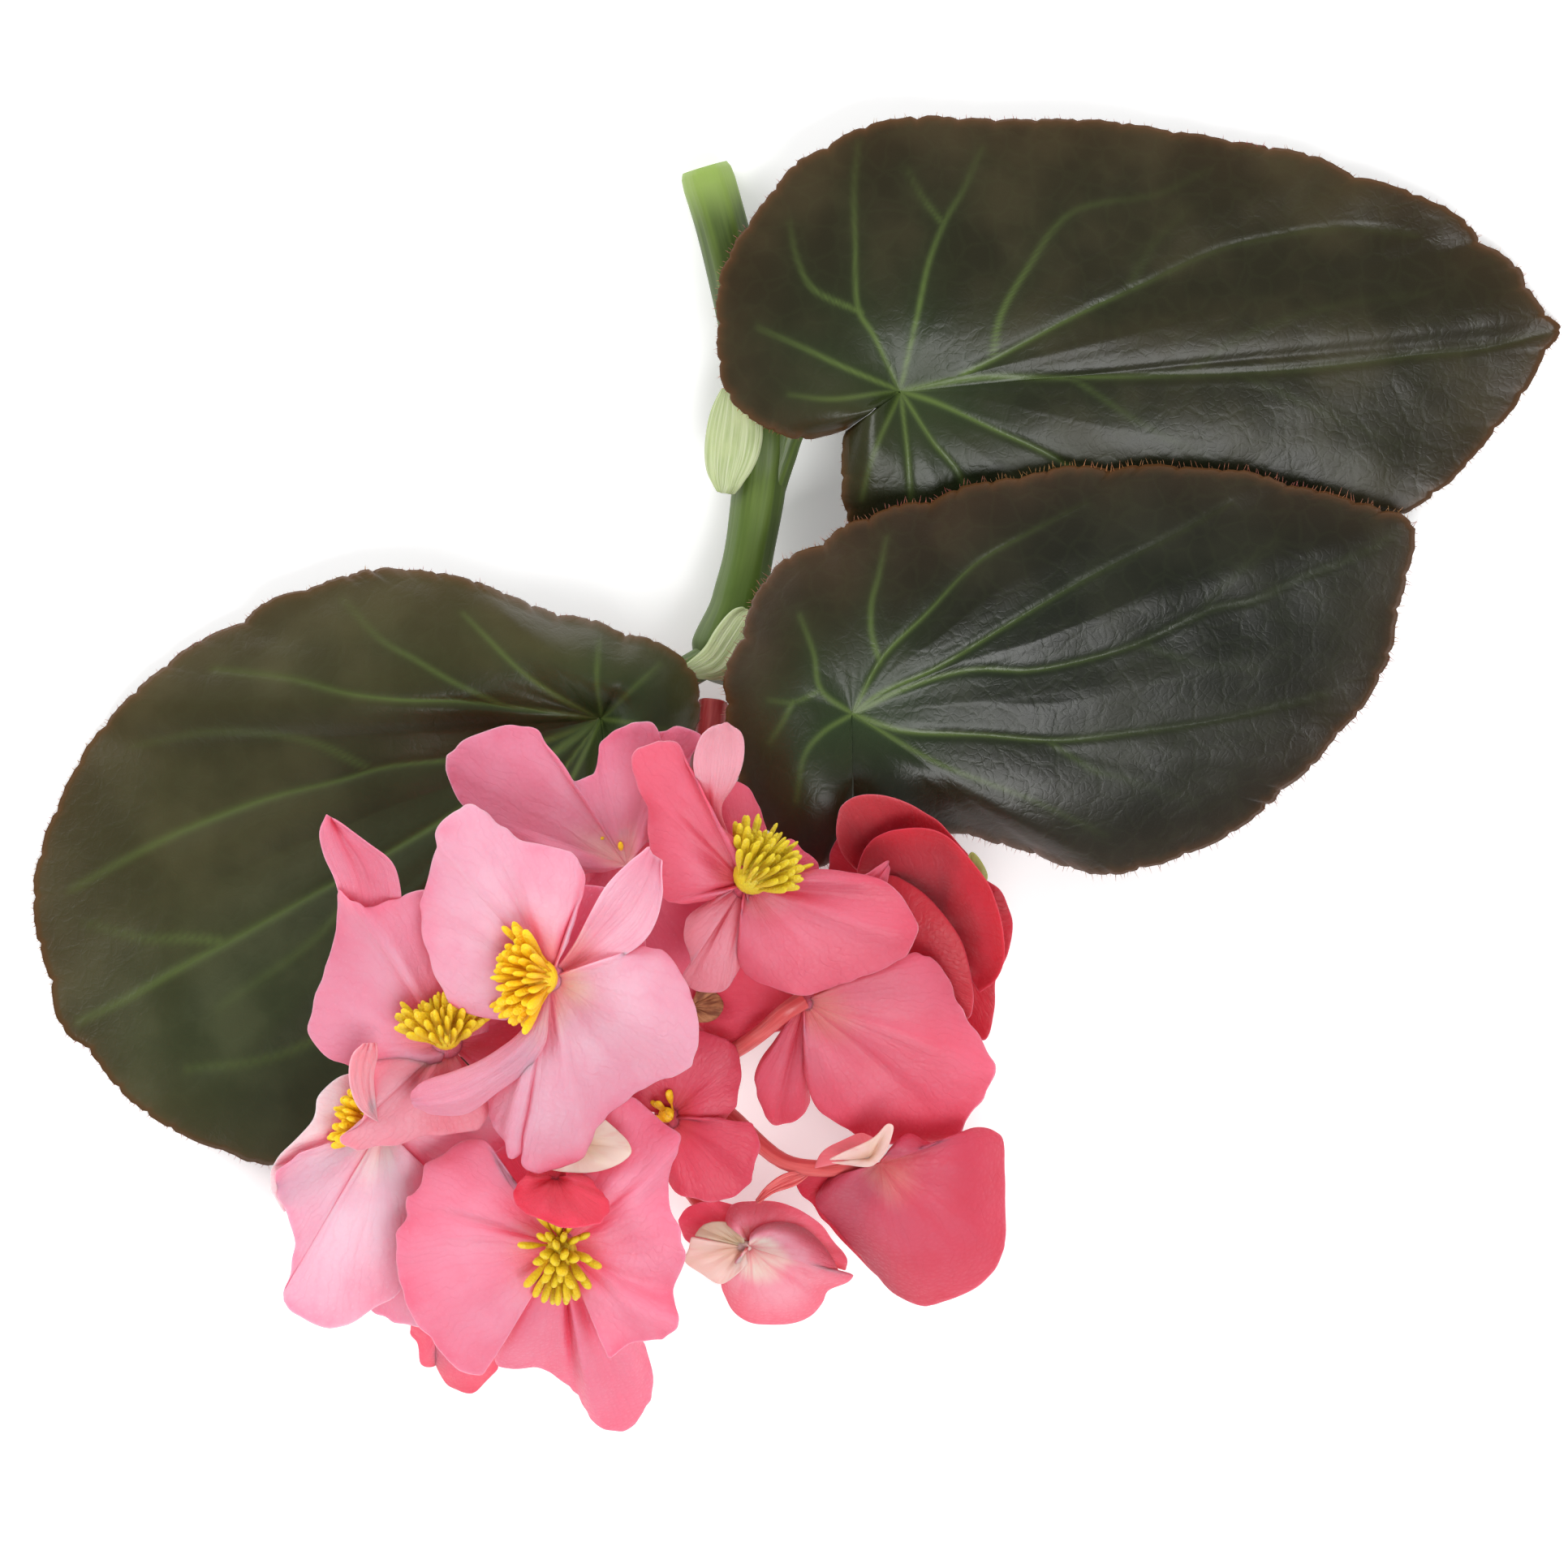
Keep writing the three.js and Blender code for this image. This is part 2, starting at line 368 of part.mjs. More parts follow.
// A bloom has a solid heart and petals that grow from it, fans with a rim and straps with
// rows, or a strap from another petal's edge. tuft is its brush of stamens: which way it
// leans, how long and how many.
const BLOOMS = {
  bloom_a: {
    color: 0xf4a9b9,
    heart: [-35.5, -29.5, 51],
    tuft: { lean: [-0.62, 0, 0.78], reach: 8.5, count: 17 },
    petals: [
      { bow: 2.5, rim: [
        [-32.5, -23.5, 53], [-31.5, -19.5, 54], [-30.5, -15, 55], [-31, -13, 55], [-33, -11, 55], [-39.5, -9.8, 54],
        [-42.7, -7.7, 53], [-46.5, -4.8, 52], [-49, -5.4, 51], [-52.4, -8.6, 50], [-52, -11, 50], [-54, -17, 49],
        [-54.2, -20, 48.5], [-53.5, -24.5, 48.5], [-51, -31.5, 49], [-48, -34.5, 49.5], [-42, -36, 50.5],
      ] },
      { bow: -1, rows: [
        [[-32, -24.5, 54], [-30.5, -28.7, 54]], [[-29.5, -19.7, 57], [-26, -27, 55.5]],
        [[-27.3, -16, 58], [-21.5, -23.8, 56]], [[-24.5, -13.2, 58], [-19.4, -18.5, 56.5]],
        [[-21.5, -10.7, 57.5], [-19.3, -12.5, 57]],
      ] },
      { bow: 4, rim: [
        [-22, -24.8, 54], [-19, -26, 53.5], [-16.2, -30, 52.5], [-14.2, -35, 51.5], [-14.3, -40.5, 50],
        [-15.5, -42.5, 49], [-20, -44, 48], [-24, -46, 47], [-27, -49.5, 46], [-30.5, -56, 44.5], [-32.5, -57.3, 44],
        [-38.5, -57.6, 43.5], [-40.3, -54.8, 43.5], [-43, -54, 43], [-44, -48, 44],
      ] },
      { bow: 0.8, rows: [
        [[-38, -34.5, 52], [-35.8, -35, 53]], [[-40, -37.5, 51.5], [-36.2, -39, 52.5]],
        [[-43, -39.8, 50.5], [-39, -43, 51]], [[-46, -41.6, 49.5], [-43, -46, 49]],
        [[-50, -43.2, 48], [-47.5, -49.2, 47.5]], [[-54.5, -44.8, 46.5], [-52, -49.3, 46.5]],
        [[-55.8, -46.5, 46], [-55, -48.3, 46]],
      ] },
    ],
  },
  bloom_b: {
    color: 0xf09db2,
    heart: [-50.5, -39, 42],
    tuft: { lean: [-0.1, 0.6, 0.8], reach: 7, count: 16 },
    petals: [
      { bow: 0.5, rim: [
        [-44.5, -37.5, 43], [-45, -29, 43], [-50, -21.5, 43], [-55, -17.2, 43], [-59, -17.4, 43], [-65.6, -19, 42],
        [-67.4, -26, 40],
        [-70.2, -34, 38.5], [-70.4, -39, 38], [-65.6, -42.2, 38.5], [-58, -42, 40.5],
      ] },
      { bow: 0.5, rim: [
        [-65.5, -52.3, 42], [-64, -53.8, 41.5], [-58, -53, 41], [-52, -52.3, 40.5],
        [-46, -51.8, 40], [-44.5, -49, 40.5], [-46, -44, 41.5],
      ] },
      { bow: -0.8, rows: [
        [[-55, -44, 43], [-54, -41.5, 42.5]], [[-60, -47.8, 44.5], [-58, -42, 43.5]],
        [[-63, -48.3, 46], [-60.3, -40, 46]], [[-64, -45, 47.5], [-62.5, -39.3, 47.5]],
      ] },
      { bow: 1.2, from: [-62, -23, 42], rows: [
        [[-66.3, -17.5, 43], [-59, -17.5, 43.5]], [[-68.3, -12, 45], [-60, -13, 46]],
        [[-68.7, -8.5, 46.5], [-63.5, -9.3, 47.5]], [[-68.4, -5.8, 48], [-67.2, -6.2, 48]],
      ] },
      { bow: 0.5, rim: [
        [-45, -44.5, 41.5], [-40, -44, 41.5], [-36.5, -40.5, 41.5], [-37.5, -35.5, 42], [-42, -34, 42.5],
      ] },
    ],
  },
  bloom_c: {
    color: 0xf6b4c3,
    heart: [-60, -51, 32.5],
    tuft: { lean: [-0.85, 0.3, 0.4], reach: 8, count: 12, spread: 0.75 },
    petals: [
      { bow: 1, rim: [
        [-61, -45, 33], [-65.4, -43.2, 33], [-68.7, -46.5, 32.5], [-70.5, -51, 32], [-76, -56.6, 31], [-76.6, -59.4, 30],
        [-74.5, -64, 29],
      ] },
      { bow: 3, rim: [
        [-72, -55, 33], [-75.5, -57.5, 32.5], [-75.5, -61, 31.5], [-73.7, -65.2, 30], [-72.2, -69.2, 29],
        [-74, -74.5, 27], [-74.6, -76.3, 26.5], [-73.4, -78.4, 26], [-67.7, -80.8, 26], [-62.8, -78.6, 27],
        [-57, -75, 28], [-53, -66, 30], [-53, -58, 31],
      ] },
      { bow: 2, rim: [
        [-62.5, -78, 22], [-60, -79.7, 21.5], [-54, -80.5, 21], [-51, -74, 23],
      ] },
      { bow: 1, rim: [
        [-52, -58, 29], [-43, -57, 29], [-40.5, -52, 30], [-42, -47.5, 31], [-50, -46.5, 32],
      ] },
    ],
  },
  bloom_d: {
    color: 0xf3a2b6,
    heart: [-34, -68.5, 38],
    tuft: { lean: [-0.12, -0.15, 0.98], reach: 6.8, count: 18 },
    petals: [
      { bow: 3, rim: [
        [-41.5, -56.5, 38.5], [-44.4, -52.8, 38], [-49.8, -54.4, 38], [-54.6, -57.6, 38],
        [-57.3, -65.8, 37.5], [-58.1, -69, 37], [-57.6, -73, 36.5], [-54.5, -79, 35], [-52.3, -82.4, 34],
        [-50, -86, 33], [-45.5, -87.9, 32],
      ] },
      { bow: 2, rim: [
        [-27.5, -84.6, 37.5], [-22.5, -82.3, 38], [-19.4, -81.8, 38],
        [-16.9, -79.4, 38.5], [-18, -75, 39], [-15.9, -70.3, 40], [-17.2, -65, 40.5], [-18.5, -61, 40.5],
        [-17.2, -56.4, 39], [-17, -52.4, 38], [-20, -50.5, 37.5], [-27.5, -49.6, 36.5],
      ] },
      { bow: 6, rim: [
        [-41, -76, 30], [-44, -86.5, 24], [-38, -86.2, 22], [-35, -88, 19], [-32.6, -90, 16], [-31, -92.4, 13.5],
        [-28.6, -95.6, 10.5], [-24.4, -96, 10], [-21.8, -92.4, 12], [-21.1, -88.3, 16], [-22, -83, 21],
      ] },
    ],
  },
  bloom_e: {
    color: 0xe98ba1,
    heart: [-7.5, -16, 43],
    tuft: { lean: [0.55, 0.45, 0.7], reach: 8.5, count: 17, spread: 0.95 },
    petals: [
      { bow: 3, rim: [
        [-7.3, -12, 46], [-9.4, -9.5, 49], [-12.5, -5, 50], [-15.1, 0.3, 49], [-17.2, 4, 47], [-20, 4.3, 46],
        [-24, 2.5, 45], [-22.8, -1.4, 45], [-21.6, -5.5, 45], [-21.6, -10, 45], [-20, -15, 44.5], [-19.2, -18.1, 44],
        [-16.8, -18.9, 44], [-12, -18, 43.5],
      ] },
      { bow: 1.5, rim: [
        [-12.5, -18.5, 41], [-16, -21, 41], [-16.4, -23.5, 41], [-15.4, -27.5, 41], [-16.3, -29.2, 41],
        [-15.4, -31.2, 40.5], [-11.4, -31.8, 40], [-9.2, -30, 40.5], [-7.2, -24, 42], [-6.5, -20.5, 43],
      ] },
      { bow: 2.5, rim: [
        [-8.3, -22, 43], [-8.2, -28.2, 43], [-4, -31, 42.5], [1.3, -32.4, 42], [6.5, -30.7, 42], [12, -28.4, 42],
        [16.5, -25.6, 42], [17.4, -22.5, 42], [15.1, -18, 42.5], [12, -15.5, 43], [6, -14.3, 44], [0.3, -14.5, 44],
      ] },
      { bow: 0, rim: [
        [-6.9, -11.8, 40], [-6.4, -7.6, 38], [-8, -3.4, 37], [-10.4, -3.8, 38], [-11, -10, 40],
      ] },
      { bow: 0.5, rim: [
        [-4, -11.5, 40], [-0.8, -9.7, 38.5], [1.7, -11.4, 38], [3.2, -13.5, 38], [3, -16.5, 39],
      ] },
      { bow: 0.6, rows: [
        [[-11.5, -10.5, 44], [-9.5, -10, 44]], [[-12.8, -5, 46.5], [-11, -5, 46.5]],
        [[-14.4, -1.5, 48], [-8.8, -1.5, 48]], [[-15, 1.5, 49], [-7.6, 2.4, 49]],
        [[-14, 5, 49.5], [-8, 5.8, 49.5]], [[-12, 7, 49.5], [-10, 7.4, 49.5]],
      ] },
      { bow: 0.4, rows: [
        [[0, -15, 41], [0, -17, 41]], [[6, -15.2, 40.5], [8, -19, 40.5]],
        [[9.7, -14.8, 40.5], [12, -18, 40.5]], [[12.8, -12.7, 41], [13.5, -14, 41]],
      ] },
    ],
  },
  bloom_f: {
    color: 0xee8ea6,
    heart: [-25.5, -9.5, 33],
    tuft: { lean: [0, 0.1, 1], reach: 4.5, count: 8 },
    petals: [
      { bow: 2, rim: [
        [-31, -1.3, 35], [-33.2, 0.5, 36], [-36.5, 4.5, 36], [-39, 6.9, 36], [-43.3, 6.6, 35.5],
        [-48.7, 4.4, 35], [-51, 1.5, 35], [-49, -4, 35], [-46, -6.5, 35], [-42, -9.5, 35], [-36, -14, 35],
        [-28, -14, 34],
      ] },
      { bow: 1, rim: [
        [-30.5, -1.3, 36], [-28.6, 2.1, 38], [-28, 4.4, 38], [-25, 6.7, 38], [-21, 7, 38], [-19.5, 4, 38],
        [-20, -4, 36],
      ] },
      { bow: 1, rim: [
        [-20.5, 6, 33.5], [-17, 6.6, 33.5], [-13.7, 5.4, 33], [-15.2, 2, 33], [-18, -6, 33],
      ] },
      { bow: 1, rim: [
        [-30.5, -14, 32], [-32, -21, 30], [-28, -27, 28], [-21, -30.5, 27], [-15.5, -29, 27], [-14.5, -23, 28],
        [-17, -14, 31],
      ] },
    ],
  },
  bloom_g: {
    color: 0xd97890,
    heart: [1, -33, 36],
    petals: [
      { bow: 2, rim: [
        [17, -25.8, 35.5], [19.3, -26.6, 35], [22, -30, 34], [24.1, -34.2, 32.5],
        [27, -38.8, 31], [28.6, -43.4, 29.5], [27.9, -46.2, 28.5], [25.2, -49.6, 27], [23.2, -53, 25.5],
        [16, -54, 26], [11.4, -53.8, 27], [6.2, -51.4, 28], [2, -47.5, 29], [0.9, -40, 32],
      ] },
      { bow: 1.5, rim: [
        [1.5, -40, 29], [1.9, -47, 25.5], [1, -49.6, 24.5], [-2, -51.3, 24], [-4, -50.8, 24.5], [-6, -47, 26],
        [-6, -43.5, 28], [-3, -38.5, 32],
      ] },
      { bow: 0.5, rim: [
        [-6.5, -36.6, 32.5], [-10.2, -37.2, 32.5], [-12, -35, 32.5], [-11, -31, 33], [-7, -28, 34],
        [-1.5, -27.5, 35],
      ] },
    ],
  },
  bloom_h: {
    color: 0xbf2f3a,
    heart: [21, -22.5, 24],
    petals: [
      { bow: -2, rim: [
        [9.5, -16.5, 27], [5.2, -12.5, 30], [5.8, -7, 32], [8.2, -3.8, 33], [11, -3.2, 34], [14.5, -3.8, 34.5],
        [18.2, -5.9, 35], [22.7, -9.4, 34.5], [25, -12, 34],
      ] },
      { bow: -2.5, rim: [
        [10.5, -15, 30], [11.7, -10, 33], [15.5, -8.3, 35.5], [19, -8.1, 37], [22.4, -9.6, 37.5], [26.5, -14, 37],
        [28.8, -18, 36], [29.7, -22.5, 34], [29, -27, 32], [26.5, -30.5, 29.5],
      ] },
      { bow: 2, rim: [
        [11.5, -18, 31], [13, -15, 32], [18, -16.4, 33], [21, -19, 33.5], [23.5, -22.5, 33], [25, -27, 31.5],
        [25.2, -31, 29.5], [24.7, -33, 28.5], [19, -31, 27],
        [13, -29, 26], [10.5, -24, 26],
      ] },
      { bow: 0, rim: [
        [26.5, -15, 25.5], [29.5, -17, 26.5], [31.3, -21.4, 26], [30.8, -26, 25], [28.8, -30.4, 24], [28.7, -34.2, 23],
        [27.2, -39.2, 21], [22, -33, 21],
      ] },
    ],
  },
  bloom_k: {
    color: 0xe07a92,
    heart: [-18.5, -50, 26],
    tuft: { lean: [0, 0, 1], reach: 6, count: 9 },
    petals: [
      { bow: 2, rim: [
        [-22, -46, 28], [-20, -42.5, 29.5], [-14.5, -39.7, 30.5], [-10, -39.2, 30.5], [-8.3, -41, 30.5], [-8.3, -44, 30],
        [-9, -48.6, 29], [-11.5, -51, 28],
      ] },
      { bow: 2, rim: [
        [-12, -50, 30], [-7, -51, 30.5], [-5.5, -52.4, 30.5], [-6, -56.5, 30], [-6.6, -59.3, 29], [-8.5, -61, 28.5],
        [-11.5, -62.1, 28], [-15.2, -62, 27.5], [-18.3, -60.4, 27.5], [-19.5, -54, 27],
      ] },
    ],
  },
  seed_flower_i: {
    color: 0xd9566c,
    heart: [11.5, -60, 29],
    petals: [
      { bow: 4, rim: [
        [13.5, -54.5, 32], [16, -52.2, 32.5], [19.3, -53.8, 32], [23, -52.6, 31], [26.9, -51.4, 29.5],
        [29.8, -52.8, 28], [30.2, -57.6, 26], [30.4, -66.2, 22], [30, -70, 20.5], [26.9, -74.5, 18], [21, -77.3, 16],
        [18.3, -77.8, 15.5], [14.1, -75.9, 16], [9.7, -71, 18.5], [5, -66, 22], [6.5, -61.5, 26],
      ] },
      { bow: 1.5, rim: [
        [17.6, -76.5, 12.5], [12, -74, 13], [7, -68.5, 17], [2.8, -63, 22], [1.2, -61.5, 24.5],
        [5, -60, 27],
      ] },
    ],
  },
  seed_flower_j: {
    color: 0xe693a5,
    heart: [-6.2, -68.6, 19],
    petals: [
      { bow: 3, rim: [
        [-11, -66, 19], [-10, -63.9, 19], [-8.3, -63, 19], [-5.5, -62.6, 19], [-2.5, -62.8, 19], [0, -63.4, 18.5],
        [3, -65, 17.5], [6.2, -68.3, 15.5], [7.4, -71.5, 14], [2, -71, 16],
      ] },
      { bow: 5, rim: [
        [-3.5, -66.2, 23], [-0.5, -66.2, 22.5], [2.4, -67.6, 21], [5, -70.5, 18], [8.2, -73.4, 14.5], [4.6, -75.7, 13],
        [3.4, -77.6, 11.5], [1.4, -79.4, 10], [-1.5, -80.4, 9], [-5, -80.4, 9], [-7.6, -79.6, 9.5], [-9.8, -78, 11],
        [-10.8, -75, 14], [-8, -70.5, 18],
      ] },
      { bow: 1, rim: [
        [-8, -64.5, 18], [-11, -62.6, 17.5], [-15, -62.8, 17], [-16.8, -65, 16.5], [-15.8, -68.5, 16], [-11, -71, 15.5],
      ] },
    ],
  },
  seed_flower_l: {
    color: 0xdc4a5a,
    heart: [-35, -58.5, 39.5],
    petals: [
      { bow: 3, rim: [
        [-38.5, -58, 40.5], [-40.3, -60.5, 43], [-39.8, -63, 44.5], [-37.5, -63.8, 46], [-33, -64, 46.5],
        [-29.8, -63.6, 45.5], [-27.8, -62, 44], [-30.5, -59, 41],
      ] },
    ],
  },
  bud_m: {
    color: 0xdb5f74,
    heart: [-51, -79, 12],
    petals: [
      { bow: 2, rim: [
        [-54.5, -78.5, 11], [-56.7, -80.6, 10], [-55.4, -83.2, 8], [-54.4, -87, 5], [-52.8, -86.8, 4], [-49, -83, 7],
      ] },
      { bow: 3, rim: [
        [-53, -84, 8], [-52.5, -87.5, 3], [-50, -90.5, 0], [-47.5, -90.7, 0], [-44.5, -88.7, 1], [-43.6, -86, 3],
        [-45, -81, 8],
      ] },
    ],
  },
};

// A brush of stamens round the way it leans: clubbed anthers on a small dome
function brush(base, { lean, reach, count, spread = 1.1 }) {
  const dome = new THREE.SphereGeometry(1.9, 6, 4).scale(1, 1, 0.7);
  const profile = [[0, 0], [1, 0.75], [0, 1]];
  const axis = vec(lean).normalize();
  const turn = new THREE.Quaternion().setFromUnitVectors(new THREE.Vector3(0, 0, 1), axis);
  const solids = [solidOf(dome.applyQuaternion(turn).translate(...base))];
  for (let i = 0; i < count; i += 1) {
    const share = (i + 0.5) / count;
    const tilt = spread * Math.sqrt(share);
    const bearing = i * GOLDEN_ANGLE;
    const way = new THREE.Vector3(
      Math.sin(tilt) * Math.cos(bearing), Math.sin(tilt) * Math.sin(bearing), Math.cos(tilt),
    ).applyQuaternion(turn);
    const length = reach * (1 - 0.18 * ((i * 7) % 5) / 4);
    const club = profile.map(([r, h]) => new THREE.Vector2(r * ANTHER_RADIUS, h * length));
    const spindle = new THREE.LatheGeometry(club, ANTHER_SIDES);
    spindle.applyQuaternion(new THREE.Quaternion().setFromUnitVectors(new THREE.Vector3(0, 1, 0), way));
    solids.push(solidOf(spindle.translate(...base)));
  }
  return join(solids);
}

function heartSolid(heart, radius) {
  return solidOf(new THREE.SphereGeometry(radius, 6, 4).scale(1, 1, 0.8).translate(...heart));
}

function petalOf(heart, petal, thick = PETAL_THICK) {
  if (petal.rows) return strap({ heart: petal.from ?? heart, ...petal, thick });
  return blade({ heart, ...petal, thick, rows: petal.rim.length < SMALL_RIM ? PETAL_ROWS - 1 : PETAL_ROWS });
}
for (const [name, { color, heart, petals, tuft }] of Object.entries(BLOOMS)) {
  const core = heartSolid(heart, HEART_RADIUS);
  const bloom = largest(join([core, ...petals.map((petal) => petalOf(heart, petal))]));
  place(name, bloom, { color });
  if (tuft) {
    const base = [heart[0], heart[1], heart[2] + HEART_RADIUS * 0.8 + 1];
    const room = [heartSolid(heart, HEART_RADIUS + CLEAR)];
    for (const petal of petals) room.push(petalOf(heart, petal, PETAL_THICK + 2 * CLEAR));
    const brushed = largest(brush(base, tuft).subtract(join(room)).subtract(bloom));
    place(name.replace('bloom', 'stamens'), brushed, { color: 0xf0bb2c });
  }
}

// ---------------------------------------------------------------- ovaries and bract

// A seed flower stands on a pale ovary with thin wings
const OVARIES = {
  ovary_h: { color: 0x9aa850, heart: [25.5, -15.5, 28], wings: [
    [[24.5, -12.5, 29], [25.4, -11.4, 29], [27.6, -14.6, 29], [27.4, -16.5, 28.5]],
  ] },
  ovary_i: { color: 0xe4b2a6, heart: [9, -57.4, 33.6], wings: [
    [[6, -57.4, 34.5], [7.2, -55.8, 35.5], [11.2, -54.4, 37], [13.2, -52.6, 38], [15, -52.2, 38], [14.6, -54.8, 37],
      [13.4, -57, 36], [11.2, -58.4, 35]],
    [[1.5, -58.2, 31], [0.8, -57, 30.5], [2.4, -56.6, 31], [6.6, -54.4, 32], [10.8, -54.4, 33]],
  ] },
  ovary_j: { color: 0xe0c4b4, heart: [-9.5, -69, 22.8], wings: [
    [[-8.5, -71, 22.5], [-9.3, -73, 22], [-11.4, -74.2, 21], [-13.8, -72.8, 20.5], [-16, -70.6, 20.5], [-15.2, -67.8, 21.5]],
    [[-14.8, -67, 22], [-13.1, -65.6, 22.5], [-11, -65.2, 23], [-9, -66, 23.5], [-7.6, -67.4, 23.8]],
  ] },
  ovary_l: { color: 0xe2c9a4, heart: [-29.5, -53.8, 41.2], wings: [
    [[-32.5, -57, 40.5], [-29, -57.2, 41.5], [-25.7, -56.6, 42.2], [-23.9, -55.4, 42.4], [-23.8, -54.2, 42.4], [-26, -52, 42]],
  ] },
};
for (const [name, { color, heart, wings }] of Object.entries(OVARIES)) {
  const core = solidOf(new THREE.SphereGeometry(1.6, 6, 4).scale(1.1, 1, 0.8).translate(...heart));
  place(name, join([core, ...wings.map((rim) => blade({ heart, rim, rows: 2 }))]), { color });
}

place('bract', blade({
  heart: [-15.5, -34, 28.5],
  rim: [[-14.6, -31.8, 29.5], [-11.6, -32, 30.5], [-10.8, -34.2, 31], [-12, -36, 30.5], [-14.5, -36.2, 29.5]],
  bow: 0.5,
  rows: 2,
}), { color: 0x9a6a48 });

// ---------------------------------------------------------------- flower stalks

// One branching stalk: the peduncle from the lower joint, and a pedicel to each bloom, which
// ends just short of the bloom's heart
const HUB = [-20, -37, 19];
const underHeart = (name) => {
  const [x, y, z] = BLOOMS[name].heart;
  return [x, y, z - HEART_RADIUS * 0.8 - 3 * CLEAR];
};
const pedicel = (...line) => limb(line.map((p) => [...p, PEDICEL_RADIUS]), STALK_SIDES, 1);
place('flower_stalks', join([
  limb([
    [-12.2, 10.5, 12.4, FLOWER_STALK_RADIUS], [-13, 4, 13.5, FLOWER_STALK_RADIUS],
    [-14.5, -6, 14.5, FLOWER_STALK_RADIUS], [-17, -20, 16, FLOWER_STALK_RADIUS], [...HUB, FLOWER_STALK_RADIUS],
  ], 8, 2),
  pedicel(HUB, [-25, -36, 27], [-33, -31.5, 38], underHeart('bloom_a')),
  pedicel([-26, -35.5, 28], [-38, -38, 30], [-47, -40, 34], underHeart('bloom_b')),
  pedicel(HUB, [-35, -44, 21], [-50, -50, 24], underHeart('bloom_c')),
  pedicel(HUB, [-27, -51, 24], [-32, -63, 29], underHeart('bloom_d')),
  pedicel([-16.5, -17, 16], [-11, -17.5, 26], underHeart('bloom_e')),
  pedicel([-15, -9, 15], [-20, -10, 22], underHeart('bloom_f')),
  pedicel(HUB, [-13, -42, 22], [-8.5, -40, 27.5], [-5, -37.5, 34.5], [-1.7, -34.8, 38.8]),
  pedicel(HUB, [-6, -37, 17], [10, -28, 17], underHeart('bloom_h')),
  pedicel(HUB, [-14, -46, 19], [-9, -50.5, 22], [0, -57.5, 27.5], [6, -58.8, 29.5]),
  pedicel(HUB, [-18, -50, 15], [-16, -60, 13], [-9, -67.5, 14.5]),
  pedicel([-19, -45, 17.5], [-18.8, -48, 20], underHeart('bloom_k')),
  pedicel([-25.5, -48, 23], [-29, -53, 29], [-32.5, -56.5, 35]),
  pedicel(HUB, [-38, -56, 14], [-46.5, -69, 11], [-49.4, -75.3, 12]),
  strap({ heart: [2.5, -57.8, 28], rows: [
    [[0, -59.8, 28], [-1.5, -58, 28]], [[-3.5, -61, 28], [-4.8, -60.3, 28]], [[-5.6, -62.4, 27.5], [-6, -62, 27.5]],
  ] }),
]), { color: 0xa8423a });

export default part;
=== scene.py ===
import math
import random

import bpy
from mathutils import Matrix, Vector, kdtree, noise


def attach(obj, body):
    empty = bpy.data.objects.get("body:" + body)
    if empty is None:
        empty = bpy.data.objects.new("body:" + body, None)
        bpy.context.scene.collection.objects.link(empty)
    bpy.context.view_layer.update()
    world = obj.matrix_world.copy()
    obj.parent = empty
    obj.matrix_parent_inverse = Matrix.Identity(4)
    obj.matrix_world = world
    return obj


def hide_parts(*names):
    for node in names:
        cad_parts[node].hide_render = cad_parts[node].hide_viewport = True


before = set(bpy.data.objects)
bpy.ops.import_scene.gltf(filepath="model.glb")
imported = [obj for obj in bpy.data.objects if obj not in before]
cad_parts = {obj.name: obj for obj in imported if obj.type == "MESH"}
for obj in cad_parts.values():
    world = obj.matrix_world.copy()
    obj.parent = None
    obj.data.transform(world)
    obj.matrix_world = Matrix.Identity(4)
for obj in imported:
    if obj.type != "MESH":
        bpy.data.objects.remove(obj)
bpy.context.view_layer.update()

# ---------------------------------------------------------------- Stem and its leaf stalks
# One green, juicy stem, cut across at its top end and swollen at its two joints. Three leaf
# stalks grow out of it. The skin is smooth and a little glossy, with fine ridges along it.
MM = 0.001
MERGE = 0.01 * MM  # points nearer than this are one
STEM_LINE = [  # every point is (x, y, z) in mm
    (-13.5, 88.5, 4), (-11, 80, 4.1), (-8.5, 70, 4.4), (-6.5, 60, 5.4), (-5, 50, 6.5), (-5.5, 42, 7),
    (-7, 32, 7.8), (-8.5, 25, 8.6), (-10.5, 18, 9.5), (-12, 13.5, 10.2),
]
STEM_RADII = [3.9, 3.8, 3.9, 3.9, 4.6, 3.9, 3.6, 3.9, 4.9, 2.9]
LEAF_STALK_LINES = [
    [(-4.5, 40, 7), (-2.6, 46, 7.8), (-0.5, 51, 8.6), (6, 55, 10), (15, 55.5, 10.9)],
    [(-9, 19, 10.5), (-4, 15.5, 14), (3, 11, 19), (8, 8.5, 21.8)],
    [(-12, 17, 10.5), (-18, 13.5, 12), (-24, 10, 14.4), (-28.5, 8, 15.8)],
]
LEAF_STALK_RADIUS = 2.4
LEAF_STALK_RADII = [LEAF_STALK_RADIUS * share for share in (1, 1, 0.95, 0.8)]


def flow(spots, along):
    """The point at along, 0 to 1, on the smooth line that runs through all the spots."""
    where = along * (len(spots) - 1)
    k = min(int(where), len(spots) - 2)
    share = where - k
    b, c = spots[k], spots[k + 1]
    a = spots[k - 1] if k > 0 else 2 * b - c
    d = spots[k + 2] if k + 2 < len(spots) else 2 * c - b
    gap = [max((q - p).length ** 0.5, 1e-6) for p, q in ((a, b), (b, c), (c, d))]
    leave = ((b - a) / gap[0] - (c - a) / (gap[0] + gap[1]) + (c - b) / gap[1]) * gap[1]
    arrive = ((c - b) / gap[1] - (d - b) / (gap[1] + gap[2]) + (d - c) / gap[2]) * gap[1]
    bend = 3 * (c - b) - 2 * leave - arrive
    return b + leave * share + bend * share**2 + (2 * (b - c) + leave + arrive) * share**3


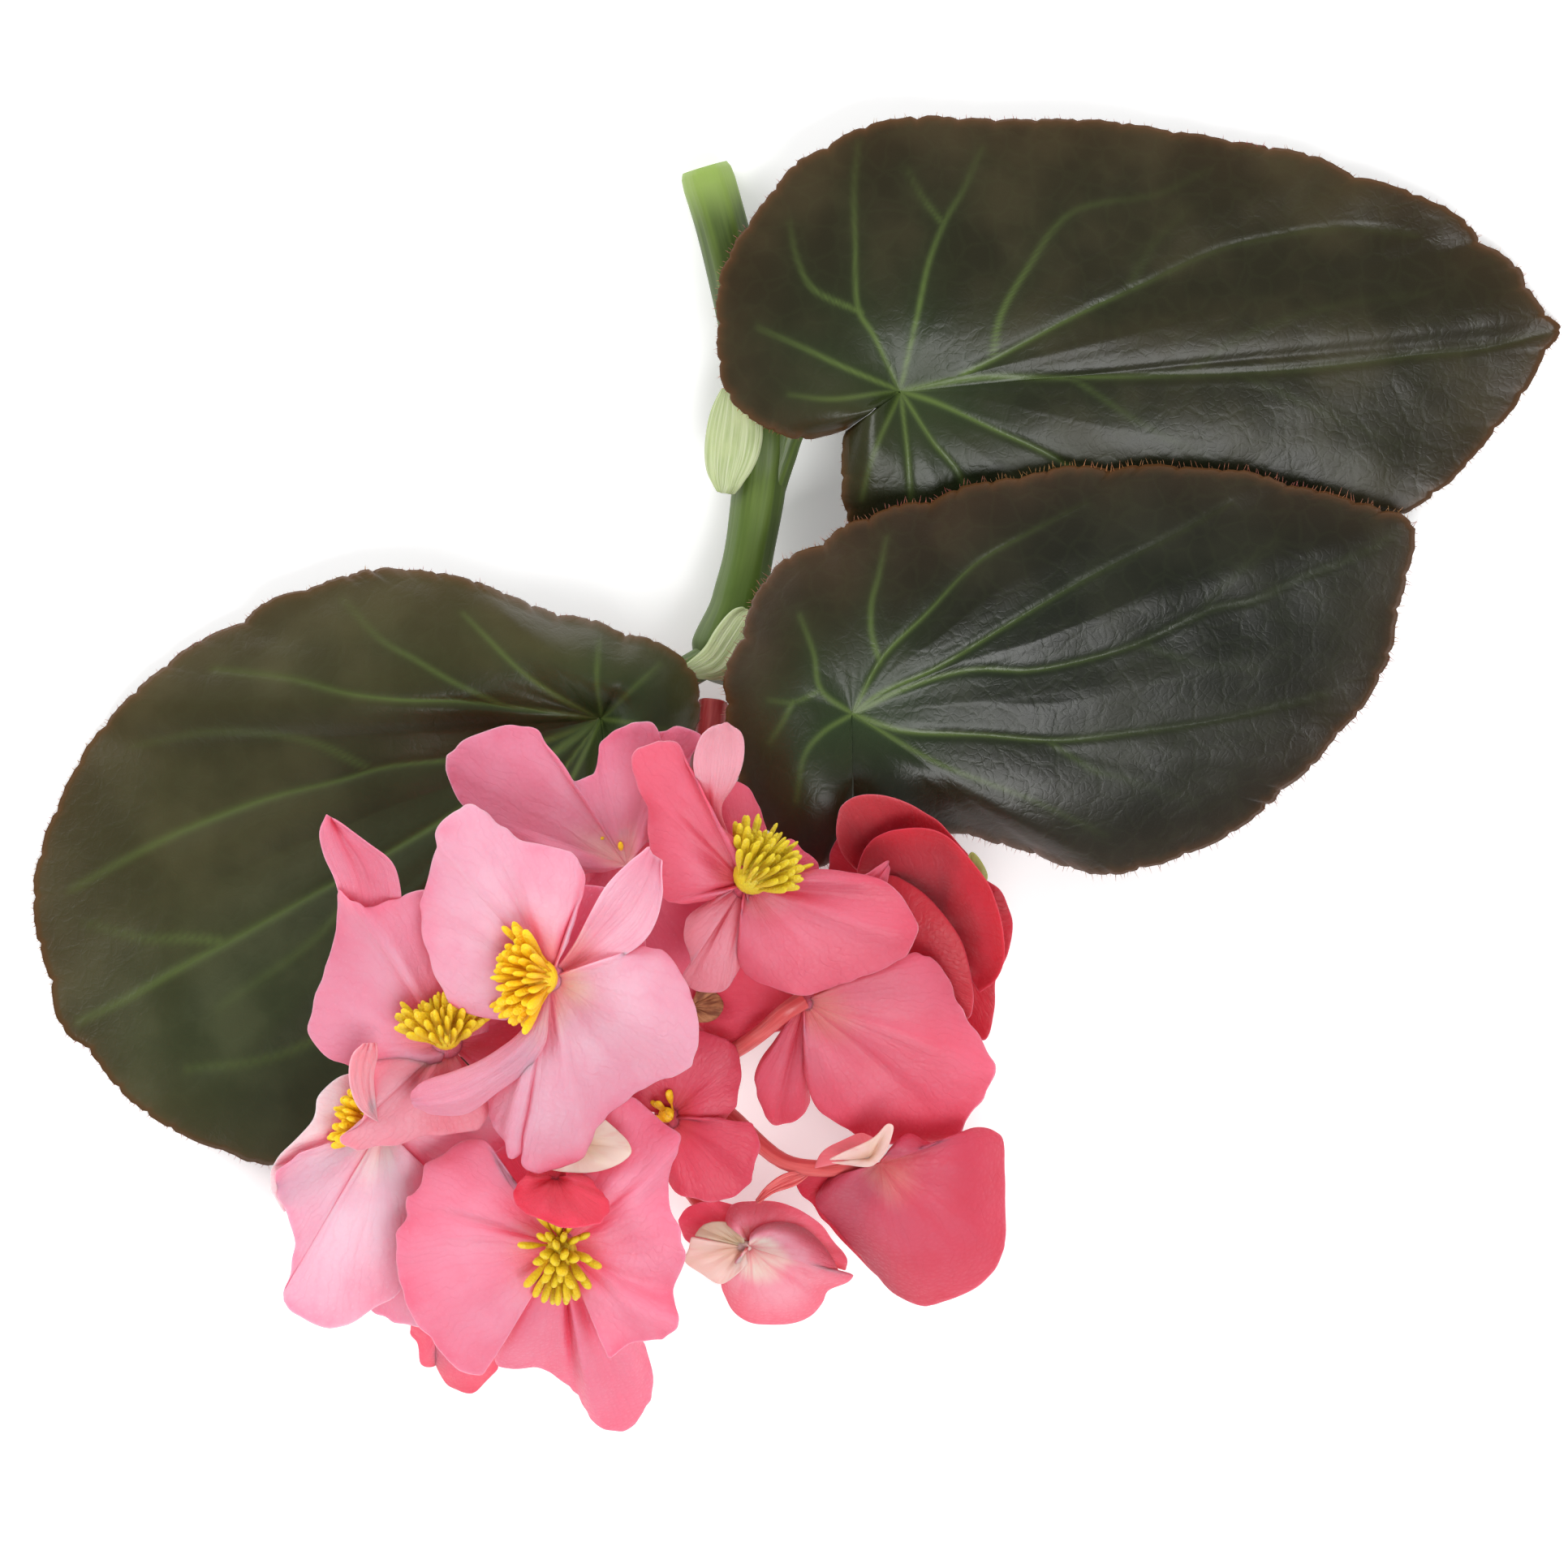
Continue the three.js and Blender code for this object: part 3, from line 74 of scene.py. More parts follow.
def ease(low, high, value):
    """0 below low, 1 above high and a soft step between."""
    share = min(max((value - low) / (high - low), 0), 1)
    return share * share * (3 - 2 * share)


def between(values, along):
    """The value at along, 0 to 1, eased from each of the values to the next."""
    where = along * (len(values) - 1)
    k = min(int(where), len(values) - 2)
    return values[k] + (values[k + 1] - values[k]) * ease(0, 1, where - k)


def lay(columns, rows, spot):
    """A sheet of quads laid at spot(s, t) in mm, with s and t as its UV, and closed where it meets."""
    bpy.ops.object.select_all(action="DESELECT")
    bpy.ops.mesh.primitive_grid_add(x_subdivisions=columns, y_subdivisions=rows, size=1, calc_uvs=True)
    sheet = bpy.context.object
    for vertex in sheet.data.vertices:
        vertex.co = MM * spot(vertex.co.x + 0.5, vertex.co.y + 0.5)
    bpy.ops.object.mode_set(mode="EDIT")
    bpy.ops.mesh.select_all(action="SELECT")
    bpy.ops.mesh.remove_doubles(threshold=MERGE)
    bpy.ops.mesh.normals_make_consistent(inside=False)
    bpy.ops.object.mode_set(mode="OBJECT")
    return sheet


def limb(line, radii, sides=32, rings=60, ridges=0, ridge=0.0, rounding=0.5):
    """A closed stalk along a line, as thick as radii say. Its seam runs along its underside."""
    spots = [Vector(p) for p in line]
    length = sum((q - p).length for p, q in zip(spots, spots[1:]))
    edge = rounding / length
    places = [(0, 0), (0, 0.5), (0, 0.86), (edge * 0.35, 0.96)]
    places += [(edge + (1 - 2 * edge) * k / rings, 1) for k in range(rings + 1)]
    places += [(1 - edge * 0.35, 0.96), (1, 0.86), (1, 0.5), (1, 0)]
    side = Vector((0, 0, -1))
    hoops = []
    for along, share in places:
        ahead = (flow(spots, min(along + 0.01, 1)) - flow(spots, max(along - 0.01, 0))).normalized()
        side = (side - ahead * side.dot(ahead)).normalized()
        radius = share * between(radii, along)
        hoops.append((flow(spots, along), side.copy(), ahead.cross(side), radius))

    def spot(s, t):
        centre, down, across, radius = hoops[round(t * (len(hoops) - 1))]
        turn = 2 * math.pi * s
        reach = radius * (1 + ridge * math.cos(ridges * turn))
        return centre + reach * (math.cos(turn) * down + math.sin(turn) * across)

    return lay(sides, len(places) - 1, spot)


def fuse(name, parts):
    """The parts as one smooth-shaded piece."""
    bpy.ops.object.select_all(action="DESELECT")
    for part in parts:
        part.select_set(True)
    bpy.context.view_layer.objects.active = parts[0]
    if len(parts) > 1:
        bpy.ops.object.join()
    whole = bpy.context.object
    whole.name = name
    bpy.ops.object.shade_smooth()
    return whole


def tone(red, green, blue):
    """A colour as a screen shows it, 0 to 255, made linear for a shader."""
    return (*(((c / 255 + 0.055) / 1.055) ** 2.4 for c in (red, green, blue)), 1)


def node(tree, kind, inputs=None, **settings):
    """A shader node with its settings, and its inputs linked or set."""
    made = tree.nodes.new(kind)
    for key, value in settings.items():
        setattr(made, key, value)
    for key, value in (inputs or {}).items():
        if isinstance(value, bpy.types.NodeSocket):
            tree.links.new(value, made.inputs[key])
        else:
            made.inputs[key].default_value = value
    return made


def math_node(tree, operation, first, second=0.0):
    """The result of one step of arithmetic."""
    return node(tree, "ShaderNodeMath", {0: first, 1: second}, operation=operation).outputs[0]


def times(tree, first, second):
    """The product of two values."""
    return math_node(tree, "MULTIPLY", first, second)


def blend(tree, share, first, second, kind="MIX"):
    """Colour first, going over to second by share."""
    mix = node(tree, "ShaderNodeMix", data_type="RGBA", blend_type=kind)
    sockets = [socket for socket in mix.inputs if socket.enabled]
    for socket, value in zip(sockets, (share, first, second)):
        if isinstance(value, bpy.types.NodeSocket):
            tree.links.new(value, socket)
        else:
            socket.default_value = value
    return next(socket for socket in mix.outputs if socket.enabled)


def spread(tree, value, low, high):
    """A mask: value from low to high, spread over 0 to 1 with soft ends."""
    limits = {0: value, 1: low, 2: high}
    return node(tree, "ShaderNodeMapRange", limits, interpolation_type="SMOOTHSTEP").outputs[0]


def effect(name, inputs, outputs):
    """An empty node group with float or vector inputs and float outputs."""
    group = bpy.data.node_groups.new(name, "ShaderNodeTree")
    for key, value in inputs.items():
        kind = "NodeSocketVector" if value is None else "NodeSocketFloat"
        socket = group.interface.new_socket(key, in_out="INPUT", socket_type=kind)
        if value is not None:
            socket.default_value = value
    for key in outputs:
        group.interface.new_socket(key, in_out="OUTPUT", socket_type="NodeSocketFloat")
    return group, group.nodes.new("NodeGroupInput"), group.nodes.new("NodeGroupOutput")


# Fibres: soft streaks that run along a piece's own V, finer as Count grows
fibres, given, put = effect("fibres", {"UV": None, "Count": 20.0, "Stretch": 1.0}, ["Streak"])
parted = node(fibres, "ShaderNodeSeparateXYZ", {0: given.outputs["UV"]})
over = times(fibres, parted.outputs[0], given.outputs["Count"])
down = times(fibres, parted.outputs[1], given.outputs["Stretch"])
drawn = node(fibres, "ShaderNodeCombineXYZ", {0: over, 1: down})
streak = node(fibres, "ShaderNodeTexNoise", {"Vector": drawn.outputs[0], "Scale": 1.0, "Detail": 4.0})
fibres.links.new(streak.outputs[0], put.inputs["Streak"])

# Flesh: what juicy plant skin shows close up, soft patches and a fine grain of cells
flesh, given, put = effect("flesh", {"Patch": 60.0, "Cells": 1500.0}, ["Patches", "Cells"])
here = node(flesh, "ShaderNodeTexCoord").outputs["Object"]
patches = node(flesh, "ShaderNodeTexNoise", {"Vector": here, "Scale": given.outputs["Patch"], "Detail": 3.0})
cells = node(flesh, "ShaderNodeTexVoronoi", {"Vector": here, "Scale": given.outputs["Cells"]})
flesh.links.new(patches.outputs[0], put.inputs["Patches"])
flesh.links.new(cells.outputs["Distance"], put.inputs["Cells"])


def skin(name, roughness, translucency=0.0, scatter=(1.0, 0.35, 0.3), depth=1.0, **sockets):
    """A skin's material, node tree, shader and UV. Depth is how far light goes in, in mm."""
    material = bpy.data.materials.new(name)
    material.use_nodes = True
    tree = material.node_tree
    shader = tree.nodes["Principled BSDF"]
    shader.inputs["Roughness"].default_value = roughness
    shader.inputs["Subsurface Weight"].default_value = translucency
    shader.inputs["Subsurface Radius"].default_value = scatter
    shader.inputs["Subsurface Scale"].default_value = depth * MM
    for key, value in sockets.items():
        shader.inputs[key.replace("_", " ")].default_value = value
    uv = node(tree, "ShaderNodeUVMap").outputs[0]
    return material, tree, shader, uv


def filled(tree, group, inputs):
    """A shared effect, with its inputs."""
    return node(tree, "ShaderNodeGroup", inputs, node_tree=group)


def outward(tree, uv):
    """How far along its V a spot lies."""
    return node(tree, "ShaderNodeSeparateXYZ", {0: uv}).outputs[1]


def paint(tree, shader, colour, height=None, depth=0.0):
    """Gives a skin its colour and, for the light only, relief of height, 0 to 1, and depth in mm."""
    tree.links.new(colour, shader.inputs["Base Color"])
    if height is not None:
        bump = node(tree, "ShaderNodeBump", {"Height": height, "Distance": depth * MM, "Strength": 1.0})
        tree.links.new(bump.outputs[0], shader.inputs["Normal"])


stem_green, tree, shader, uv = skin("stem_green", 0.42, 0.15, (0.5, 0.9, 0.3), 2.0)
lines = filled(tree, fibres, {"UV": uv, "Count": 20.0, "Stretch": 2.5}).outputs["Streak"]
body = filled(tree, flesh, {"Patch": 70.0, "Cells": 1800.0})
green = blend(tree, spread(tree, lines, 0.35, 0.68), tone(66, 84, 30), tone(90, 110, 46))
green = blend(tree, spread(tree, body.outputs["Patches"], 0.4, 0.75), green, tone(76, 98, 36))
green = blend(tree, spread(tree, outward(tree, uv), 0.12, 0.0), green, tone(142, 166, 84))  # its cut end
paint(tree, shader, green, lines, 0.15)

stem_parts = [limb(STEM_LINE, STEM_RADII, 48, 120, ridges=7, ridge=0.022, rounding=2.4)]
for line in LEAF_STALK_LINES:
    stem_parts.append(limb(line, LEAF_STALK_RADII, 32, 50, ridges=7, ridge=0.03))
stem = fuse("stem_and_leaf_stalks", stem_parts)
stem.data.materials.append(stem_green)
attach(stem, "root")
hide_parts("stem")

# ---------------------------------------------------------------- Stipules
# Two papery scales, pale green and thin enough to let light through, that clasp the stem at
# its joints. Fine veins run along them and their free ends are torn a little.
STIPULES = {
    "stipule_upper": {"heart": (-9, 56, 10.4), "rows": [
        [(-11, 56.2, 10), (-7.6, 55.8, 10.8)], [(-12.7, 52.5, 9.3), (-5, 51, 11.9)],
        [(-13.5, 47, 9), (-5.4, 46.5, 12)], [(-13, 43.5, 9.1), (-7.2, 43, 11.9)],
        [(-11.4, 41, 9.8), (-9.2, 40.6, 11)],
    ]},
    "stipule_lower": {"heart": (-15.6, 14.4, 15.2), "rows": [
        [(-16.8, 15.4, 15.3), (-14.4, 13.6, 15.2)], [(-13.7, 18, 14.8), (-10, 13.8, 15.1)],
        [(-11.8, 21, 14.1), (-7, 17.6, 15.6)], [(-9.5, 23.6, 13.8), (-5.6, 21, 14.8)],
        [(-7.6, 24.2, 14), (-6, 23, 14.1)],
    ]},
}
STIPULE_THICK = 0.4
noise.seed_set(7)  # so that noise_vector, which starts from the clock, is the same each run


def thicken(sheet, thick, levels=1):
    """Gives a sheet its thickness and rounds its edges."""
    bpy.context.view_layer.objects.active = sheet
    solidify = sheet.modifiers.new("thickness", "SOLIDIFY")
    solidify.thickness = thick * MM
    solidify.offset = 0
    bpy.ops.object.modifier_apply(modifier=solidify.name)
    if levels:
        rounded = sheet.modifiers.new("rounding", "SUBSURF")
        rounded.levels = rounded.render_levels = levels
        bpy.ops.object.modifier_apply(modifier=rounded.name)
    return sheet


def tinted(piece, tint):
    """Gives every point of a piece its tint, which its material reads."""
    shade = piece.data.attributes.new("tint", "FLOAT", "POINT")
    for value in shade.data:
        value.value = tint
    return piece


def petal(heart, rim=None, rows=None, start=None, wide=False, bow=0.0, curl=0.0, ruffle=0.5, waves=2.5,
          creases=(), rings=(0, 0.0), pleats=0.5, nick=0.7, thick=0.35, tint=0.0, young=0.0,
          phase=0.0, fine=4, steps=16):
    """A thin petal, as a fan from its heart to its rim or as a strap between two sides.

    bow lifts its middle, curl turns its rim up, and ruffle waves it. A crease is (place along
    the rim, how deep, how wide), rings are waves round the heart, (how many, how high), and
    pleats are shallow folds that run outwards. nick is how uneven the rim is. A wide strap
    keeps its first row's width, and young is how far from its heart its colouring starts. tint
    turns its colour to the deepest, or, below 0, to the palest. On a petal that lies under
    others, a high tint is painted shade for the shade it lies in.
    """
    root = Vector(start or heart)
    if rim:
        edge = [Vector(p) for p in rim]
        columns = (len(edge) - 1) * fine
        free = [flow(edge, k / columns) for k in range(columns + 1)]
    else:
        sides = [[*([] if wide else [root]), *(Vector(row[k]) for row in rows)] for k in (0, 1)]
        columns, steps = 14, max(steps, len(rows) * fine)
        borders = [[flow(side, k / steps) for k in range(steps + 1)] for side in sides]

    def spot(s, t):
        if rim:
            point = root.lerp(free[round(s * columns)], t)
            point.z += bow * 4 * t * (1 - t)
            wave = s
        else:
            row = round(t * steps)
            point = borders[0][row].lerp(borders[1][row], s)
            point.z += bow * 4 * s * (1 - s) * ease(0, 0.2, t)
            wave = t
        lift = curl * ease(0.7, 1, t) ** 2
        lift += ruffle * t**3 * math.sin(2 * math.pi * (waves * wave + phase))
        lift += rings[1] * math.sin(2 * math.pi * rings[0] * t) * ease(0.1, 0.4, t)
        lift += pleats * ease(0, 0.5, t) * noise.noise(Vector((7 * s, 1.6 * t, 9 * phase)))
        for where, deep, breadth in creases:
            lift -= deep * math.exp(-(((s - where) / breadth) ** 2)) * ease(0, 0.35, t)
        point += nick * t**6 * (noise.noise_vector(point * 0.45) + 0.4 * noise.noise_vector(point * 1.4))
        point.z = max(point.z + lift, thick)
        return point

    blade = thicken(lay(columns, steps, spot), thick)
    for corner in blade.data.uv_layers.active.data:
        corner.uv.y = young + (1 - young) * corner.uv.y
    return tinted(blade, tint)


stipule_pale, tree, shader, uv = skin("stipule_pale", 0.5, 0.3, (0.8, 1.0, 0.5), 2.0)
lines = filled(tree, fibres, {"UV": uv, "Count": 26.0, "Stretch": 1.2}).outputs["Streak"]
body = filled(tree, flesh, {"Patch": 160.0, "Cells": 1500.0})
pale = blend(tree, spread(tree, lines, 0.35, 0.7), tone(160, 174, 122), tone(200, 208, 170))
pale = blend(tree, spread(tree, body.outputs["Patches"], 0.45, 0.8), pale, tone(184, 194, 146))
paint(tree, shader, pale, lines, 0.3)

for name, shape in STIPULES.items():
    scale_leaf = fuse(name + "_scale", [petal(
        **shape, wide=True, bow=1.0, creases=[(0.36, 0.5, 0.12)], ruffle=0.25, nick=0.5, pleats=0.8,
        thick=STIPULE_THICK,
    )])
    scale_leaf.data.materials.append(stipule_pale)
    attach(scale_leaf, "root")
    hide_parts(name)

# ---------------------------------------------------------------- Leaves
# Three lopsided heart-shaped blades, leathery and dark bronze over green, each grown on the end
# of its stalk. They bulge between sunken green veins, and their scalloped margins are red-brown
# and fringed with short stiff hairs.
LEAVES = {
    "leaf_upper": dict(heart=(15, 55.5, 13.6), bow=1.8, ridge=3.2, rim=[
        (7.5, 50.5, 13.5), (0.5, 49.2, 13.8), (-3.5, 50.2, 14), (-7, 52.3, 13.8), (-9.7, 55.2, 13.6),
        (-11, 60, 13.4), (-11.2, 65.5, 13), (-11, 71, 12.6), (-9.7, 75, 12.2), (-7, 79.5, 11.6),
        (-3, 85, 11), (0, 88.5, 10.5), (4.5, 91, 10), (10, 94, 9.5), (17.5, 95.4, 9), (23.5, 95.2, 8.6),
        (29, 95, 8.2), (35, 95, 8), (41, 95, 7.6), (47.5, 94.5, 7.2), (55, 93.4, 6.8), (63.5, 92, 6.4),
        (69, 91, 6.2), (74.7, 90, 6), (81.5, 87, 5.4), (90, 84.5, 4.6), (98, 80, 3.6), (99.5, 77.5, 3.4),
        (105, 74, 2.6), (106.5, 71, 2.2), (109.5, 67, 1.2), (111.5, 64.8, 0), (109.5, 62, 0.8),
        (106, 55.5, 1), (102, 50.5, 1.4), (98, 45.5, 1.8), (93, 41, 2.2), (88, 38, 2.6), (79, 35.5, 3.2),
        (70, 33, 3.8), (60, 31, 4.4), (50, 29, 5), (40, 28, 5.8), (30, 27.5, 6.8), (22, 28.5, 8),
        (15, 30.5, 9), (9.5, 34, 10.2), (7.5, 38, 11), (7, 43, 12), (7.3, 49.7, 13.3),
    ]),
    "leaf_middle": dict(heart=(8, 8.5, 24.5), bow=3.5, rim=[
        (8.2, -9, 21), (4.5, -13, 21), (-0.5, -12.5, 21.5), (-4, -8.5, 22), (-7, -4.4, 22),
        (-8.2, -0.7, 22), (-9.3, 5, 22), (-9.9, 10, 22), (-9.9, 15, 21.6), (-7.5, 19.5, 21.4),
        (-6.4, 24.2, 21), (-4.3, 27.5, 20.5), (-1, 31, 20), (4, 33, 19.4), (7, 35.5, 19),
        (10.5, 36.7, 18.6), (15, 38.6, 18), (19.5, 39, 17.5), (23.5, 41, 17), (28.5, 42, 16.6),
        (32.5, 42.6, 16), (36.6, 43.6, 15.4), (41, 44.4, 15), (45.5, 43.8, 14.4), (50, 44.4, 14),
        (55.7, 44.2, 13.4), (62, 43.8, 12.6), (68, 43, 12), (71.5, 41.6, 11.4), (76, 40.8, 10.6),
        (81.5, 39.2, 9.6), (85.5, 38, 8.8), (89.6, 36.2, 7.6), (88.8, 29, 6.6), (87.5, 24, 6.2),
        (86.4, 17.5, 5.8), (85, 14.5, 5.6), (81.8, 9, 5.6), (78.8, 6, 5.8), (75, 1.2, 6), (70.5, -2.3, 6.2),
        (68.5, -4.5, 6.4), (63.2, -8.5, 6.8), (56.5, -11.6, 7.4), (50, -13.6, 8), (45.7, -14.4, 8.6),
        (40, -13.4, 9.6), (35, -11.5, 11), (30, -10, 12.5), (25, -8.6, 14), (20, -8.5, 15.5),
        (14.5, -10, 17.5), (7.2, -10.4, 19.4),
    ]),
    "leaf_left": dict(heart=(-28.5, 8, 18.5), bow=4.5, ridge=3.0, ridges=4, ridge_width=9, fade=0.4, rim=[
        (-27, -3, 18.5), (-22, -4.5, 19), (-18, -1, 19), (-15.6, 5, 19), (-14.6, 10.5, 19),
        (-16, 15.2, 18.8), (-21, 18.8, 18.2), (-25, 19.6, 17.8), (-30, 21.8, 17), (-35, 22.6, 16),
        (-38.8, 24, 15), (-43, 25.7, 14), (-47.2, 27.5, 12.8), (-52.7, 28.7, 11.4), (-57, 29.2, 10.2),
        (-62, 29.2, 9), (-65.5, 28.4, 8), (-71.5, 26.4, 7), (-77.5, 24.6, 6), (-80.6, 21.8, 5.4),
        (-87, 19, 4.4), (-92, 15.4, 3.6), (-96.5, 11.6, 3), (-101, 7, 0), (-105, 1.3, -5),
        (-108.2, -5.7, -8), (-110.6, -12, -10), (-111.5, -18.2, -10), (-110.6, -25, -10),
        (-109, -30.5, -10), (-107.5, -37, -9), (-103.5, -40.4, -7), (-99.2, -46, -4), (-95, -49.5, -2),
        (-91.5, -51.8, 0), (-84, -55, 2), (-76.4, -57.3, 3.4), (-70, -57, 5), (-62, -55, 6.8),
        (-55, -51.5, 8.6), (-48, -46.5, 10.2), (-42, -40, 11.8), (-37, -32, 13.4), (-33.5, -23, 15),
        (-30.5, -13, 16.6), (-26.8, -4.6, 17.4),
    ]),
}
VEINS = {  # the width of each vein at its foot, and its line
    "leaf_upper": [
        (1.5, [(15, 55.6), (26, 57.6), (40, 57.6), (56.5, 58), (70, 58.7), (80, 59.7), (90, 61), (100, 62),
               (110, 64.5)]),
        (1.2, [(24, 58), (29, 60.5), (40, 66.3), (50, 71), (61.5, 76.3), (70, 78.3), (80, 79.7),
               (90, 78.6)]),
        (0.9, [(28.5, 60.4), (29.6, 66.3), (33.3, 73), (40, 81.6), (53, 84.5), (60, 88)]),
        (0.9, [(15, 55.6), (17.6, 67), (19.3, 74.6), (21.8, 80.8), (24, 84.5), (27, 91)]),
        (0.6, [(21.2, 80), (18.5, 83.5), (16, 88)]),
        (0.9, [(15, 55.6), (11, 63.9), (9, 67.2), (8.5, 77), (8.4, 86), (9, 92)]),
        (0.7, [(9.3, 67), (2.3, 70.5), (0, 75), (-1, 80)]),
        (0.9, [(15, 55.6), (7, 58.9), (0.2, 62.2), (-5.5, 64.7)]),
        (0.7, [(15, 55.6), (5.2, 54.3), (-1, 55)]), (1.2, [(15, 55.6), (16, 47.3), (16.4, 42.3), (17, 33)]),
        (1.1, [(15, 55.6), (20, 48), (23.4, 44), (28, 33)]),
        (1.3, [(15, 55.6), (20, 54), (28.4, 50.2), (35, 47.3), (40, 44.8), (55, 39), (70, 37)]),
        (0.8, [(15, 55.6), (11.4, 47.3), (9.5, 40)]), (0.5, [(56, 58), (66, 64), (78, 68), (92, 70)]),
        (0.5, [(64, 58.4), (76, 53), (88, 48)]), (0.4, [(40, 57.6), (50, 51), (60, 46)]),
        (0.4, [(48, 70), (52, 77), (58, 83)]),
    ],
    "leaf_middle": [
        (1.2, [(8, 8.5), (15, 12), (25, 15), (34.4, 15), (48.6, 18.5), (60.6, 24), (66.5, 25.2), (73, 28.3),
               (84.2, 33), (88, 35.5)]),
        (1.0, [(8, 8.5), (12.3, 16.6), (18.7, 23), (25.8, 30.2), (33, 34.5), (42, 39)]),
        (0.8, [(12, 16), (10.8, 20.2), (10.8, 24.5), (11.9, 28.7), (13, 34)]),
        (1.1, [(8, 8.5), (12, 11.5), (20.1, 15.2), (30.8, 21.6), (42.9, 28.7), (55.8, 35.2), (62.9, 39.4)]),
        (1.3, [(8, 8.5), (15, 6.2), (27.3, 5.5), (38, 4.8), (48.6, 5.9), (62.9, 8.1), (77.2, 11.6)]),
        (0.7, [(8, 8.5), (20, 1.6), (34.4, -4), (45, -9)]),
        (0.5, [(36, 4.9), (43.6, 0.2), (46.5, -0.5), (58, -4)]),
        (0.8, [(8, 8.5), (3.4, 12), (2.4, 17.3), (0.5, 22.7)]),
        (0.5, [(3.4, 12), (-0.6, 10.2), (-4, 10.5)]), (0.5, [(-0.6, 10.2), (-2, 7.4), (-3.8, 4.5)]),
        (0.7, [(8, 8.5), (3.8, 5.9), (1.2, 2.7), (0, -4)]), (0.4, [(50, 18.9), (58, 16), (70, 15)]),
        (0.4, [(58, 23), (64, 29), (72, 36)]),
    ],
    "leaf_left": [
        (1.7, [(-28.3, 7.8), (-38, 1), (-49.2, -5.7), (-59.7, -11.9), (-67.4, -16.1), (-80.6, -23.5),
               (-91, -29), (-98, -33), (-105, -36.4)]),
        (0.8, [(-83, -24.8), (-89, -24.2), (-95.3, -24.2), (-104, -22)]),
        (1.4, [(-28.3, 7.8), (-37, 4.5), (-45.7, 2.4), (-59.7, 0.9), (-66.7, -1.1), (-76.4, -3.5),
               (-84.1, -6.3), (-92.5, -9.8), (-98.1, -12.6), (-106, -17)]),
        (1.2, [(-28.3, 7.8), (-33.2, 8.5), (-48.5, 10.4), (-57.6, 10.6), (-65.3, 11.5), (-73.6, 13.6),
               (-85, 15)]),
        (0.7, [(-43, 10), (-50, 13.2), (-55.5, 16.4), (-60.4, 19.2), (-66, 25)]),
        (0.9, [(-28.3, 7.8), (-35.3, 11.5), (-40.2, 14.9), (-45, 19.5), (-48.5, 23)]),
        (0.7, [(-28.3, 7.8), (-29, 13.9), (-28.8, 18.8)]), (0.7, [(-28.3, 7.8), (-23, 7), (-18.5, 6)]),
        (0.7, [(-28.3, 7.8), (-24, 12), (-20, 15.5)]),
        (1.1, [(-28.3, 7.8), (-45, -14), (-58, -30), (-70.8, -39), (-79, -42), (-89, -43.3)]),
        (0.9, [(-28.3, 7.8), (-36, -8), (-44, -26), (-52, -44)]),
        (0.6, [(-62, 0.5), (-72, 5), (-86, 6), (-97, 4)]), (0.6, [(-60, -12), (-70, -24), (-84, -34)]),
    ],
}
# Each blade is bronze on the side of its heart that this direction points to, and green on the other
BRONZE_SIDE = {"leaf_upper": (0.1, 1), "leaf_middle": (-0.75, 0.65), "leaf_left": (-0.5, 0.85)}
LEAF_THICK = 0.55
LEAF_ROWS = 80
LEAF_STEPS = 8  # across each stretch of rim between two notches
TOOTH = 0.7  # how far a scallop stands out
QUILT = 1.15  # how far the blade bulges between its main veins
QUILT_REACH = 6.5  # how far from a vein it does
MAIN_VEIN = 1.0  # a finer vein than this colours the blade but doesn't crease it
GROOVE = 0.3  # how deep a main vein is sunk
VEIN_STEP = 0.4
VEIN_TAPER = 0.72  # how much of its width a vein loses by its end
SETTLE = 3.0  # the height at which a blade begins to lie down on the surface
LYING = 0.3  # how high it lies


def vein_map(veins, least=0.0):
    """A search tree of spots along the veins, flat on the surface, and the vein's width at each."""
    spots, widths = [], []
    for width, line in veins:
        if width < least:
            continue
        points = [Vector((x, y, 0)) for x, y in line]
        length = sum((q - p).length for p, q in zip(points, points[1:]))
        count = int(length / VEIN_STEP)
        for k in range(count + 1):
            spots.append(flow(points, k / count))
            widths.append(width * (1 - VEIN_TAPER * k / count))
    tree = kdtree.KDTree(len(spots))
    for k, spot in enumerate(spots):
        tree.insert(spot, k)
    tree.balance()
    return tree, widths


def margin(rim, along):
    """The leaf's edge at along, 0 to 1, on its rounded teeth, and the way out across it."""
    edge = [Vector(p) for p in rim]
    point = flow(edge, along)
    ahead = flow(edge, min(along + 0.004, 1)) - flow(edge, max(along - 0.004, 0))
    out = Vector((ahead.y, -ahead.x, 0)).normalized()
    middle = sum(edge, Vector()) / len(edge)
    if out.dot(point - middle) < 0:
        out = -out
    share = along * (len(edge) - 1) % 1
    scallop = 0.45 * math.sin(math.pi * share) ** 0.5 + 0.2 * abs(math.sin(3 * math.pi * share))
    return point, out, TOOTH * scallop + 0.25 * noise.noise(point * 0.8)


